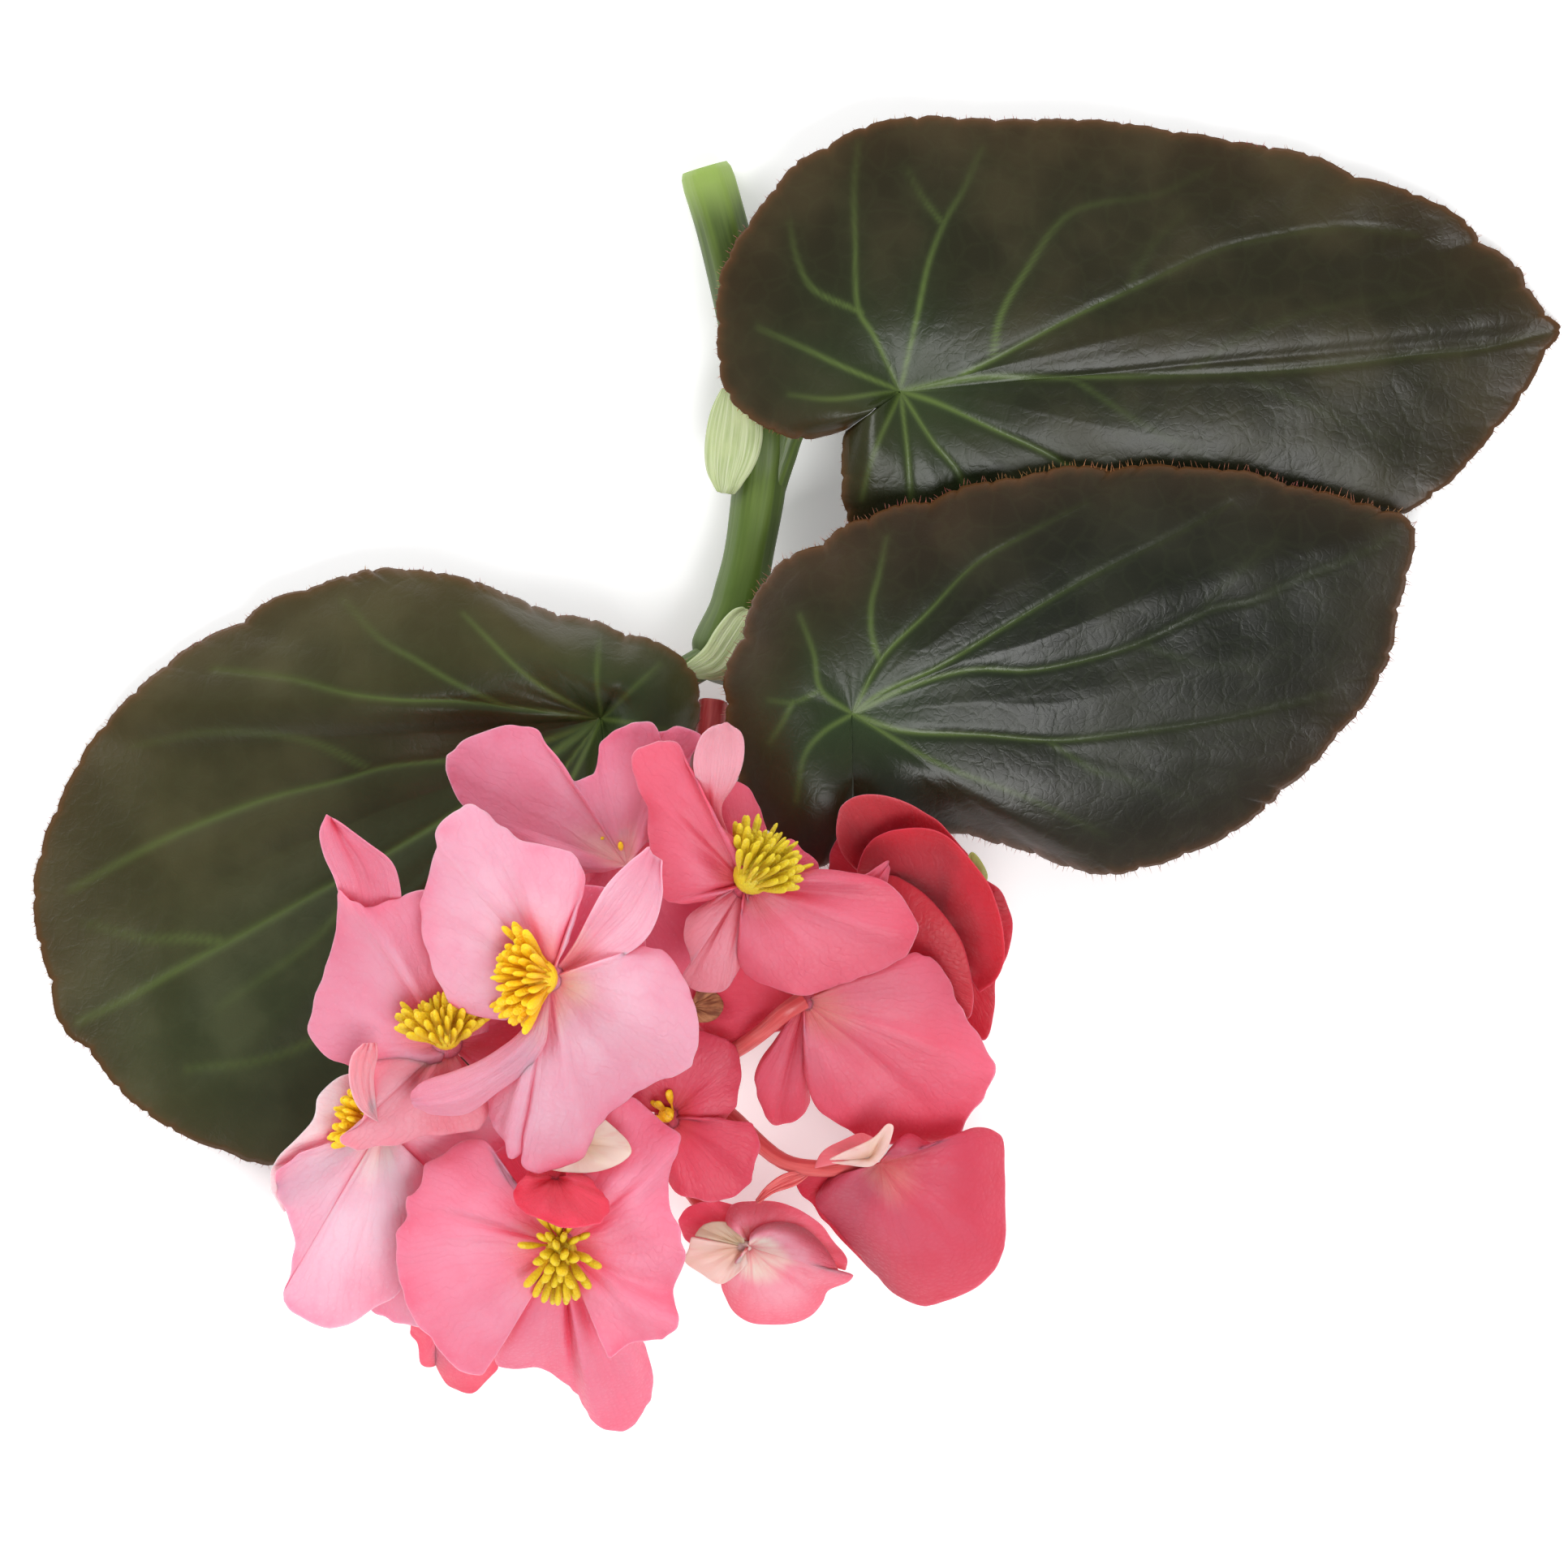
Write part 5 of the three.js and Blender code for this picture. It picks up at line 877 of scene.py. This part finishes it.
PETALS["bloom_h"] = [
    dict(bow=-0.8, curl=1.4, nick=0.1, tint=-0.35, rim=[
        (8.5, -14, 27), (6.7, -12, 29), (5.7, -9.5, 31), (5.7, -6.9, 32.5), (6.3, -4.9, 33.3),
        (7.9, -3.6, 34), (10.1, -3.1, 34.5), (13, -3.3, 34.8), (15.8, -4.2, 35), (18.1, -5.5, 35),
        (20.4, -6.9, 34.8), (22.5, -9.2, 34.5), (25, -12, 34),
    ]),
    dict(bow=0.5, curl=0.8, nick=0.1, rings=(2, 0.4), pleats=1.3, rim=[
        (8.5, -14.5, 29), (9.5, -11.5, 32), (11.2, -9.4, 34), (14.4, -8.2, 36), (18.4, -8, 37),
        (21.5, -8.9, 37.5), (24.7, -12.1, 37), (27.8, -16.2, 36), (29.3, -20.2, 34.5), (30, -24.6, 32.5),
        (29.9, -28, 31), (28.6, -30.4, 29.5), (26.4, -32, 28.5),
    ]),
    dict(start=(13, -26, 29.5), bow=1.2, ruffle=0.1, pleats=0.1, nick=0, rim=[
        (9.5, -17, 30.5), (13.4, -14.8, 32), (15.8, -15.7, 33), (18.7, -17.7, 33.5), (21.5, -20.8, 33.8),
        (23.8, -24.2, 33.2), (24.9, -27.6, 32.2), (25.5, -31.1, 31), (25.6, -33.6, 29.5), (24.8, -35.8, 28),
        (20, -35, 27),
    ]),
    dict(bow=0, nick=0.2, tint=0.9, rim=[
        (26.5, -15, 25.5), (29.5, -17, 26.5), (31.3, -21.4, 26), (30.8, -26, 25), (28.8, -30.4, 24),
        (28.7, -34.2, 23), (27.2, -39.2, 21), (22, -33, 21),
    ]),
    dict(tint=0.9, rim=[(3, -17, 24), (4.4, -13.5, 25), (5, -10.8, 26), (7, -8.6, 27), (12, -8, 27)]),
]
PETALS["bloom_k"] = [
    dict(bow=2, rim=[
        (-25, -48, 26.5), (-25.5, -43.5, 27.5), (-21.5, -39.6, 29), (-17, -37.6, 30), (-12.5, -37.6, 30.6),
        (-9.4, -38.8, 30.6), (-8.3, -41, 30.5), (-8.3, -44, 30), (-9, -48.6, 29), (-11.5, -51, 28),
    ]),
    dict(bow=2, rim=[
        (-12, -50, 30), (-7, -51, 30.5), (-5.5, -52.4, 30.5), (-6, -56.5, 30), (-6.6, -59.3, 29),
        (-8.5, -61, 28.5), (-11.5, -62.1, 28), (-15.2, -62, 27.5), (-18.3, -60.4, 27.5), (-19.5, -54, 27),
    ]),
]
PETALS["seed_flower_i"] = [
    dict(start=(12, -56.5, 31.8), bow=3.4, curl=-0.8, ruffle=0.5, nick=0.3, pleats=0.8,
         creases=[(0.3, 0.7, 0.06)], rim=[
        (13.5, -54.5, 32), (16, -52.2, 32.5), (19.3, -53.8, 32), (23, -52.6, 31), (26.9, -51.4, 29.5),
        (29.8, -52.8, 28), (30.2, -57.6, 26), (30.4, -66.2, 22), (30, -70, 20.5), (26.9, -74.5, 18),
        (21, -77.3, 16), (18.3, -77.8, 15.5), (14.1, -75.9, 16), (9.7, -71, 18.5), (5.4, -66, 22),
        (2.6, -62, 26.5), (4.6, -58.6, 29),
    ]),
    dict(start=(10, -57.5, 29), bow=1, tint=0.8, rim=[
        (17.6, -76.5, 12.5), (12, -74, 13), (7, -68.5, 17), (2.8, -63.5, 22), (0.2, -60.5, 25),
        (0.8, -58.4, 27), (4.5, -57.2, 28.5), (8.5, -56.6, 29.5),
    ]),
]
PETALS["seed_flower_j"] = [
    dict(start=(-7, -68.3, 20.4), bow=3, nick=0.2, young=-0.2, rim=[
        (-10.5, -65.5, 20), (-9.6, -63, 19.5), (-5.8, -62.3, 19.5), (-2.5, -62.6, 19.2), (0.8, -63.9, 18.6),
        (3.4, -65.7, 17.6), (5.4, -68.3, 16.4), (7.3, -70.7, 15), (7.2, -72.6, 14),
    ]),
    dict(start=(-7, -68.8, 21.3), bow=4, ruffle=0.3, nick=0, young=-0.35, pleats=0.5, rim=[
        (-6.8, -67, 22.3), (-5.1, -65.8, 22.8), (-2.5, -65.3, 22.8), (0.8, -66.1, 22), (3.5, -68.3, 20.3),
        (5.4, -71, 17.8), (6.4, -72.8, 16), (8.3, -73.2, 14.6), (7.6, -74.2, 14.2), (4.6, -75.5, 13.2),
        (3.8, -77.3, 11.8), (2.1, -79.3, 10.2), (-0.5, -80.4, 9.2), (-4.2, -80.6, 9), (-6.8, -80.3, 9.2),
        (-9.1, -78.8, 10.4), (-10.3, -76.7, 12), (-11, -74.4, 14), (-9, -71.2, 18),
    ]),
    dict(bow=1, tint=0.6, rim=[
        (-8, -63, 18), (-12.4, -62.4, 17.5), (-15.7, -63, 17), (-17.2, -65.2, 16.5), (-16, -68.5, 16),
        (-11, -71, 15.5),
    ]),
]
PETALS["seed_flower_l"] = [
    dict(bow=0.8, ruffle=0.5, pleats=1.4, creases=[(0.5, 0.5, 0.1)], rim=[
        (-38.6, -57.6, 41.5), (-40.3, -59.2, 43.4), (-40.5, -61.4, 46), (-39.4, -63.4, 48.4),
        (-36.8, -64.7, 50.4), (-33.4, -65.4, 51), (-30, -65.4, 50.8), (-27.8, -64.4, 49),
        (-27.2, -62.2, 46.4), (-28.4, -60, 43.4), (-31, -57.8, 41.5),
    ]),
]
PETALS["bud_m"] = [
    dict(bow=2, rim=[
        (-54.5, -78.5, 11), (-56.7, -80.6, 10), (-55.4, -83.2, 8), (-54.4, -87, 5), (-52.8, -86.8, 4),
        (-49, -83, 7),
    ]),
    dict(bow=3, rim=[
        (-53, -84, 8), (-52.5, -87.5, 3), (-50, -90.5, 0), (-47.5, -90.7, 0), (-44.5, -88.7, 1),
        (-43.6, -86, 3), (-45, -81, 8),
    ]),
]
HEART_RADIUS = 2.3
HEART_FLATNESS = 0.8
BARE_HEART = 1.7  # in a bloom whose heart would show
PETAL_SCATTER = (1.0, 0.3, 0.35)

# Veining: fine lines that run out along V and fork twice on their way
veining, given, put = effect("veining", {"UV": None, "Count": 9.0}, ["Veins"])
parted = node(veining, "ShaderNodeSeparateXYZ", {0: given.outputs["UV"]})
wander = node(veining, "ShaderNodeTexNoise", {"Vector": given.outputs["UV"], "Scale": 4.0, "Detail": 3.0})
across = math_node(veining, "ADD", parted.outputs[0], times(veining, wander.outputs[0], 0.16))
lines = []
for share, start in ((1.0, 0.05), (2.0, 0.35), (4.0, 0.6)):
    wave = times(veining, times(veining, across, given.outputs["Count"]), share)
    line = spread(veining, math_node(veining, "PINGPONG", wave, 0.5), 0.1, 0.0)
    lines.append(times(veining, line, spread(veining, parted.outputs[1], start, start + 0.15)))
most = math_node(veining, "MAXIMUM", lines[0], math_node(veining, "MAXIMUM", lines[1], lines[2]))
veining.links.new(most, put.inputs["Veins"])


def tint_of(tree):
    """The tint that each point of a piece was given."""
    return node(tree, "ShaderNodeAttribute", attribute_name="tint", attribute_type="GEOMETRY").outputs["Fac"]


def petal_skin(name, *colours):
    """A petal's material, in its bloom's own colours."""
    base, body, rim, deep, fold_shade_colour = (tone(*colour) for colour in colours)
    material, tree, shader, uv = skin(name, 0.5, 0.6, PETAL_SCATTER, 3.5, Specular_IOR_Level=0.35)
    v = outward(tree, uv)
    fleshy = filled(tree, flesh, {"Patch": 110.0, "Cells": 1400.0})
    cells = fleshy.outputs["Cells"]
    veins = filled(tree, veining, {"UV": uv, "Count": 9.0}).outputs["Veins"]
    streaks = filled(tree, fibres, {"UV": uv, "Count": 15.0, "Stretch": 1.1}).outputs["Streak"]
    worn = spread(tree, fleshy.outputs["Patches"], 0.38, 0.72)
    tint = tint_of(tree)
    # ambient occlusion finds the folds and gaps between the petals, and their colour is painted deeper
    # there: painted shade
    painted_fold_shade = node(tree, "ShaderNodeAmbientOcclusion", {"Distance": 12 * MM}, samples=6).outputs["AO"]
    colour = blend(tree, spread(tree, v, 0.04, 0.38), base, body)
    for mask, share, other in (
        (spread(tree, v, 0.45, 1.0), 1.0, rim),
        (spread(tree, streaks, 0.42, 0.7), 0.5, rim),
        (worn, 0.35, deep),
        (times(tree, spread(tree, v, 0.86, 1.0), worn), 0.8, deep),
        # the tint, which on a petal lying under others is painted shade
        (tint, 1.0, deep),
        (tint, -1.0, base),
        # painted shade, deepest where the petals close in round a spot
        (spread(tree, painted_fold_shade, 0.95, 0.35), 0.85, fold_shade_colour),
        (veins, 0.1, deep),
        # specks at the middles of the cells, drawn towards the middle colour: painted glints of the skin's
        # cells
        (spread(tree, cells, 0.3, 0.05), 0.2, body),
    ):
        colour = blend(tree, times(tree, mask, share), colour, other)
    matt = node(tree, "ShaderNodeMapRange", {0: cells, 1: 0.0, 2: 0.7, 3: 0.42, 4: 0.58})
    tree.links.new(matt.outputs[0], shader.inputs["Roughness"])
    height = math_node(tree, "ADD", times(tree, veins, -0.1), streaks)
    height = math_node(tree, "ADD", height, times(tree, cells, 0.25))
    paint(tree, shader, colour, height, 0.28)
    return material


def knob(place, radius, stretch, segments=20, rings=12):
    """A fleshy lump at a place, round but for its stretch along X, Y and Z."""
    bpy.ops.object.select_all(action="DESELECT")
    bpy.ops.mesh.primitive_uv_sphere_add(segments=segments, ring_count=rings, radius=radius * MM,
                                         location=place * MM)
    bpy.ops.transform.resize(value=stretch)
    bpy.ops.object.transform_apply(location=True, rotation=True, scale=True)
    return bpy.context.object


for name, bloom in BLOOMS.items():
    heart = Vector(bloom["heart"])
    parts = [petal(heart, phase=0.37 * k, **shape) for k, shape in enumerate(PETALS[name])]
    radius = HEART_RADIUS if "tuft" in bloom else BARE_HEART
    middle = heart + Vector((0, 0, HEART_FLATNESS * (radius - HEART_RADIUS)))
    petals = fuse(name + "_petals", [*parts, knob(middle, radius, (1, 1, HEART_FLATNESS))])
    petals.data.materials.clear()
    petals.data.materials.append(petal_skin("petal_" + name, *bloom["colours"]))
    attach(petals, "root")
    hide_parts(name)

# ---------------------------------------------------------------- Stamens
# A brush of golden stamens in each pollen flower, up to 66 in the widest: a thin thread each,
# with a long flattened club on its end, packed round the way the brush leans.
GOLDEN_ANGLE = 2.39996
CLUB = [  # up along a stamen, and how wide it is there
    (0, 0), (0.01, 0.25), (0.38, 0.3), (0.48, 0.58), (0.66, 0.9),
    (0.83, 1), (0.94, 0.84), (0.985, 0.45), (1, 0),
]
CLUB_FLATNESS = 0.6
COLUMN = 0.34  # how far up the threads are grown together, as a share of a stamen's length
TUFT = {"spread": 1.1, "narrow": 1, "club": 0.7, "olive": 0.0}  # where a bloom doesn't say otherwise
TUFT_FOOT = 1.5  # how far out from the middle the outermost stamen stands


def club():
    """One stamen, a unit long along +Z: its thread and the club that holds the pollen."""
    def spot(s, t):
        height, reach = CLUB[round(t * (len(CLUB) - 1))]
        turn = 2 * math.pi * s
        return Vector((reach * math.cos(turn), CLUB_FLATNESS * reach * math.sin(turn), height)) / MM

    return lay(8, len(CLUB) - 1, spot)


stamen_yellow, tree, shader, uv = skin("stamen_yellow", 0.48, 0.25, (1.0, 0.7, 0.1), 1.5)
body = filled(tree, flesh, {"Patch": 420.0, "Cells": 2600.0})
# Darker and more orange towards the feet of the stamens: painted shade where they crowd together.
gold = blend(tree, spread(tree, outward(tree, uv), 0.25, 0.75), tone(226, 156, 14), tone(252, 210, 34))
gold = blend(tree, spread(tree, body.outputs["Patches"], 0.45, 0.8), gold, tone(250, 186, 20))
gold = blend(tree, tint_of(tree), gold, tone(204, 188, 44))
paint(tree, shader, gold, body.outputs["Cells"], 0.12)

for name, bloom in BLOOMS.items():
    if "tuft" not in bloom:
        continue
    tuft = {**TUFT, **bloom["tuft"]}
    base = Vector(bloom["heart"]) + Vector((0, 0, HEART_FLATNESS * HEART_RADIUS + 0.6))
    turn = Vector((0, 0, 1)).rotation_difference(Vector(tuft["lean"]))
    placings = []
    for k in range(tuft["count"]):
        tilt = tuft["spread"] * math.sqrt((k + 0.5) / tuft["count"])
        bearing = k * GOLDEN_ANGLE
        out = Vector((tuft["narrow"] * math.cos(bearing), math.sin(bearing), 0))
        way = turn @ (math.sin(tilt) * out + Vector((0, 0, math.cos(tilt))))
        foot = base + turn @ (out * (TUFT_FOOT * math.sqrt(k / tuft["count"])))
        length = tuft["reach"] * (0.92 - 0.2 * (k * 7 % 5) / 4)
        placings.append(pointing(way, length, tuft["club"], foot) @ Matrix.Rotation(bearing, 4, "Z"))
    brush = copies(name.replace("bloom", "stamens") + "_brush", club(), placings)
    middle = base + Vector(tuft["lean"]).normalized() * (0.5 * COLUMN * tuft["reach"])
    column = knob(middle, COLUMN * tuft["reach"], (0.8, 0.8, 0.8))
    brush = tinted(fuse(brush.name, [brush, column]), tuft["olive"])
    brush.data.materials.append(stamen_yellow)
    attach(brush, "root")
    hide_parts(name.replace("bloom", "stamens"))

# ---------------------------------------------------------------- Ovaries
# A seed flower stands on a pale three-sided ovary, fleshy and almost white, whose corners run
# out into thin wings flushed with pink.
OVARIES = {  # each wing's flush, from -1, all green, to 1, deep pink, and its outline
    "ovary_h": {"heart": (25.5, -15.5, 28), "wings": [
        (-1, [(24.5, -12.5, 29), (25.4, -11.4, 29), (27.6, -14.6, 29), (27.4, -16.5, 28.5)]),
    ]},
    "ovary_i": {"heart": (10.4, -55.8, 33.4), "wings": [
        (0.2, [(4.6, -56, 34), (6.4, -55, 35), (9.4, -53.8, 36.4), (11.4, -52.6, 37.4), (13, -50.8, 38),
            (13.9, -51, 38), (13.5, -53.2, 37), (12.4, -55.6, 35.6), (10.6, -57, 34.6), (7.6, -56.9, 33.8),
            (4.8, -56.4, 33.6)]),
        (0.9, [(2.4, -57.4, 31), (3.6, -55, 31), (6.4, -53.4, 31.6), (9.4, -52.2, 32.4), (11, -52.8, 33)]),
    ]},
    "ovary_j": {"heart": (-7.6, -68.9, 21.2), "wings": [
        (0.15, [(-15.4, -67.4, 22.6), (-15.8, -69.2, 21.6), (-16.4, -71, 21), (-13.8, -72.9, 21),
            (-11.3, -74.4, 21), (-9, -73.2, 21.4), (-7.1, -71.3, 22)]),
        (-0.35, [(-15, -67.4, 21.6), (-13.9, -66, 21.2), (-12.2, -65.3, 21.2), (-9.8, -65.5, 21.4),
            (-7.6, -66.6, 21.8)]),
    ]},
    "ovary_l": {"heart": (-31.8, -53.4, 41), "wings": [
        (-0.1, [(-38, -56.4, 40.4), (-36, -57.3, 40.6), (-32.4, -57.8, 41), (-29, -57.6, 41.6),
            (-25.7, -56.6, 42.2), (-23.9, -55, 42.4), (-24.2, -53.6, 42.4), (-26.2, -51.4, 42.2),
            (-28.2, -49.8, 41.8), (-30, -49.6, 41.4)]),
    ]},
}

OVARY_RADIUS = 0.9
OVARY_STRETCH = (1.5, 1, 0.8)

ovary_pale, tree, shader, uv = skin("ovary_pale", 0.48, 0.35, (1.0, 0.7, 0.55), 2.5)
lines = filled(tree, fibres, {"UV": uv, "Count": 14.0, "Stretch": 1.5}).outputs["Streak"]
body = filled(tree, flesh, {"Patch": 220.0, "Cells": 2000.0})
tint = tint_of(tree)
pale = blend(tree, spread(tree, outward(tree, uv), 0.1, 0.8), tone(214, 182, 156), tone(228, 202, 192))
for mask, share, other in (
    (spread(tree, lines, 0.5, 0.75), 0.4, tone(224, 150, 150)),
    (spread(tree, body.outputs["Patches"], 0.5, 0.8), 0.4, tone(206, 204, 150)),
    (tint, 1.0, tone(224, 92, 108)), (tint, -1.0, tone(148, 150, 84)),
):
    pale = blend(tree, times(tree, mask, share), pale, other)
paint(tree, shader, pale, lines, 0.15)

for name, shape in OVARIES.items():
    heart = Vector(shape["heart"])
    parts = [
        petal(heart, rim=rim, ruffle=0.15, nick=0.1, bow=0.4, thick=0.5, tint=flush)
        for flush, rim in shape["wings"]
    ]
    ovary = fuse(name + "_fruit", [*parts, knob(heart, OVARY_RADIUS, OVARY_STRETCH, 24, 14)])
    ovary.data.materials.clear()
    ovary.data.materials.append(ovary_pale)
    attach(ovary, "root")
    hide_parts(name)

# ---------------------------------------------------------------- Bract
# One dry brown scale, left over where a side branch starts, curled and wrinkled along its length.
bract_brown, tree, shader, uv = skin("bract_brown", 0.7, 0.1)
lines = filled(tree, fibres, {"UV": uv, "Count": 12.0, "Stretch": 2.0}).outputs["Streak"]
brown = blend(tree, spread(tree, lines, 0.35, 0.7), tone(116, 66, 42), tone(178, 124, 84))
paint(tree, shader, brown, lines, 0.4)
bract = fuse("bract_scale", [petal(
    (-15.5, -34, 28.5), bow=0.5, ruffle=0.5, nick=0.5, thick=0.45, rim=[
        (-14.6, -31.8, 29.5), (-11.6, -32, 30.5), (-10.8, -34.2, 31), (-12, -36, 30.5), (-14.5, -36.2, 29.5),
    ],
)])
bract.data.materials.append(bract_brown)
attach(bract, "root")
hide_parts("bract")

# ---------------------------------------------------------------- Flower stalks
# One branching stalk, smooth and red. Each of its
# branches ends under the heart of a bloom.
FLOWER_STALK_RADIUS = 2.2
PEDICEL_RADIUS = 1.2
PEDICEL_RADII = [PEDICEL_RADIUS * share for share in (1.2, 1, 1.15)]
HUB = (-20, -37, 19)  # where most branches start


def under(name):
    """Where a branch ends, in the underside of its bloom's heart."""
    x, y, z = BLOOMS[name]["heart"]
    return x, y, z - HEART_RADIUS * HEART_FLATNESS + 0.4


PEDICELS = [
    [HUB, (-25, -36, 27), (-33, -31.5, 38), under("bloom_a")],
    [(-26, -35.5, 28), (-38, -38, 30), (-47, -40, 34), under("bloom_b")],
    [HUB, (-35, -44, 21), (-50, -50, 24), under("bloom_c")],
    [HUB, (-27, -51, 24), (-32, -63, 29), under("bloom_d")],
    [(-16.5, -17, 16), (-11, -17.5, 26), under("bloom_e")],
    [(-15, -9, 15), (-20, -10, 22), under("bloom_f")],
    [HUB, (-13, -42, 22), (-8.5, -40, 27.5), (-5, -37.5, 34.5), (-1.7, -34.6, 38), (1, -32.8, 37.6)],
    [HUB, (-6, -37, 17), (10, -28, 17), under("bloom_h")],
    [HUB, (-14, -46, 19), (-9, -50.5, 22), (-2, -56.4, 26), (4, -57.4, 29.6), (8.4, -56.9, 31.4),
     (11, -56.4, 31.2)],
    [HUB, (-18, -50, 15), (-16, -60, 13), (-9, -67.5, 14.5), (-6.8, -68.4, 17)],
    [(-19, -45, 17.5), (-18.8, -48, 20), under("bloom_k")],
    [(-25.5, -48, 23), (-29, -53, 29), (-32.5, -56.5, 35)],
    [HUB, (-38, -56, 14), (-46.5, -69, 11), (-49.4, -75.3, 12), (-50.4, -78, 11.6)],
]

stalk_red, tree, shader, uv = skin("stalk_red", 0.38, 0.3, (1.0, 0.3, 0.2), 1.5)
lines = filled(tree, fibres, {"UV": uv, "Count": 16.0, "Stretch": 3.0}).outputs["Streak"]
body = filled(tree, flesh, {"Patch": 90.0, "Cells": 2000.0})
red = blend(tree, spread(tree, lines, 0.38, 0.7), tone(204, 76, 78), tone(226, 110, 108))
red = blend(tree, spread(tree, body.outputs["Patches"], 0.5, 0.8), red, tone(186, 78, 66))
paint(tree, shader, red, lines, 0.15)

stalk_parts = [limb(
    [(-12.2, 10.5, 12.4), (-13, 4, 13.5), (-14.5, -6, 14.5), (-17, -20, 16), HUB], [FLOWER_STALK_RADIUS] * 5,
    24, 60, ridges=5, ridge=0.03,
)]
for line in PEDICELS:
    stalk_parts.append(limb(line, PEDICEL_RADII, 16, 30))
stalk_parts.append(petal(  # a small red scale on the branch to seed_flower_i
    (2.5, -57.8, 28), ruffle=0.1, thick=0.4, rows=[
        [(0, -59.8, 28), (-1.5, -58, 28)], [(-3.5, -61, 28), (-4.8, -60.3, 28)],
        [(-5.6, -62.4, 27.5), (-6, -62, 27.5)],
    ],
))
stalks = fuse("branching_flower_stalk", stalk_parts)
stalks.data.materials.append(stalk_red)
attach(stalks, "root")
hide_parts("flower_stalks")

# ---------------------------------------------------------------- Surface, light and camera
# The cut stem lies on plain white paper, in the light of a window beyond its foot and of two
# reflectors that leave no gloss, seen from straight above through a long lens.
VIEW_CENTRE = (-1.88, -1.65)
VIEW_HEIGHT = 3030
LENS = 475.1
SENSOR = 36
PAPER_GLOW = 0.25
SKY_STRENGTH = 0.34
LAMPS = {  # each lamp's place, in metres, its width and height, and its power
    "window": ((0.4, -0.95, 1.8), (1.3, 0.9), 30),
    "left_reflector": ((-1.7, 0.9, 1.0), (2.0, 1.2), 30),
    "back_reflector": ((0.9, 1.6, 1.0), (2.0, 1.2), 24),
}

bpy.ops.mesh.primitive_plane_add(size=12, location=(0, 0, -0.0002))
paper = bpy.context.object
paper.name = "paper"
white, tree, shader, _ = skin("white_paper", 0.9, Emission_Color=(1, 1, 1, 1), Emission_Strength=PAPER_GLOW)
patches = filled(tree, flesh, {"Patch": 6.0, "Cells": 400.0}).outputs["Patches"]
paint(tree, shader, blend(tree, patches, tone(250, 250, 250), tone(252, 252, 252)))
paper.data.materials.append(white)

sky = bpy.data.worlds.new("soft_room")
sky.use_nodes = True
background = sky.node_tree.nodes["Background"]
background.inputs["Color"].default_value = (1, 1, 1, 1)
background.inputs["Strength"].default_value = SKY_STRENGTH
bpy.context.scene.world = sky

for name, (place, size, watts) in LAMPS.items():
    bpy.ops.object.light_add(type="AREA", location=place)
    lamp = bpy.context.object
    lamp.name = name
    lamp.data.shape = "RECTANGLE"
    lamp.data.size, lamp.data.size_y = size
    lamp.data.energy = watts
    lamp.visible_glossy = name == "window"
    lamp.rotation_euler = (-Vector(place)).to_track_quat("-Z", "Y").to_euler()

bpy.ops.object.camera_add(location=[MM * value for value in (*VIEW_CENTRE, VIEW_HEIGHT)], rotation=(0, 0, 0))
camera = bpy.context.object
camera.data.lens = LENS
camera.data.sensor_width = SENSOR
camera.data.clip_start = 0.1
camera.data.clip_end = 20
bpy.context.scene.camera = camera
bpy.context.scene.view_settings.view_transform = "Standard"
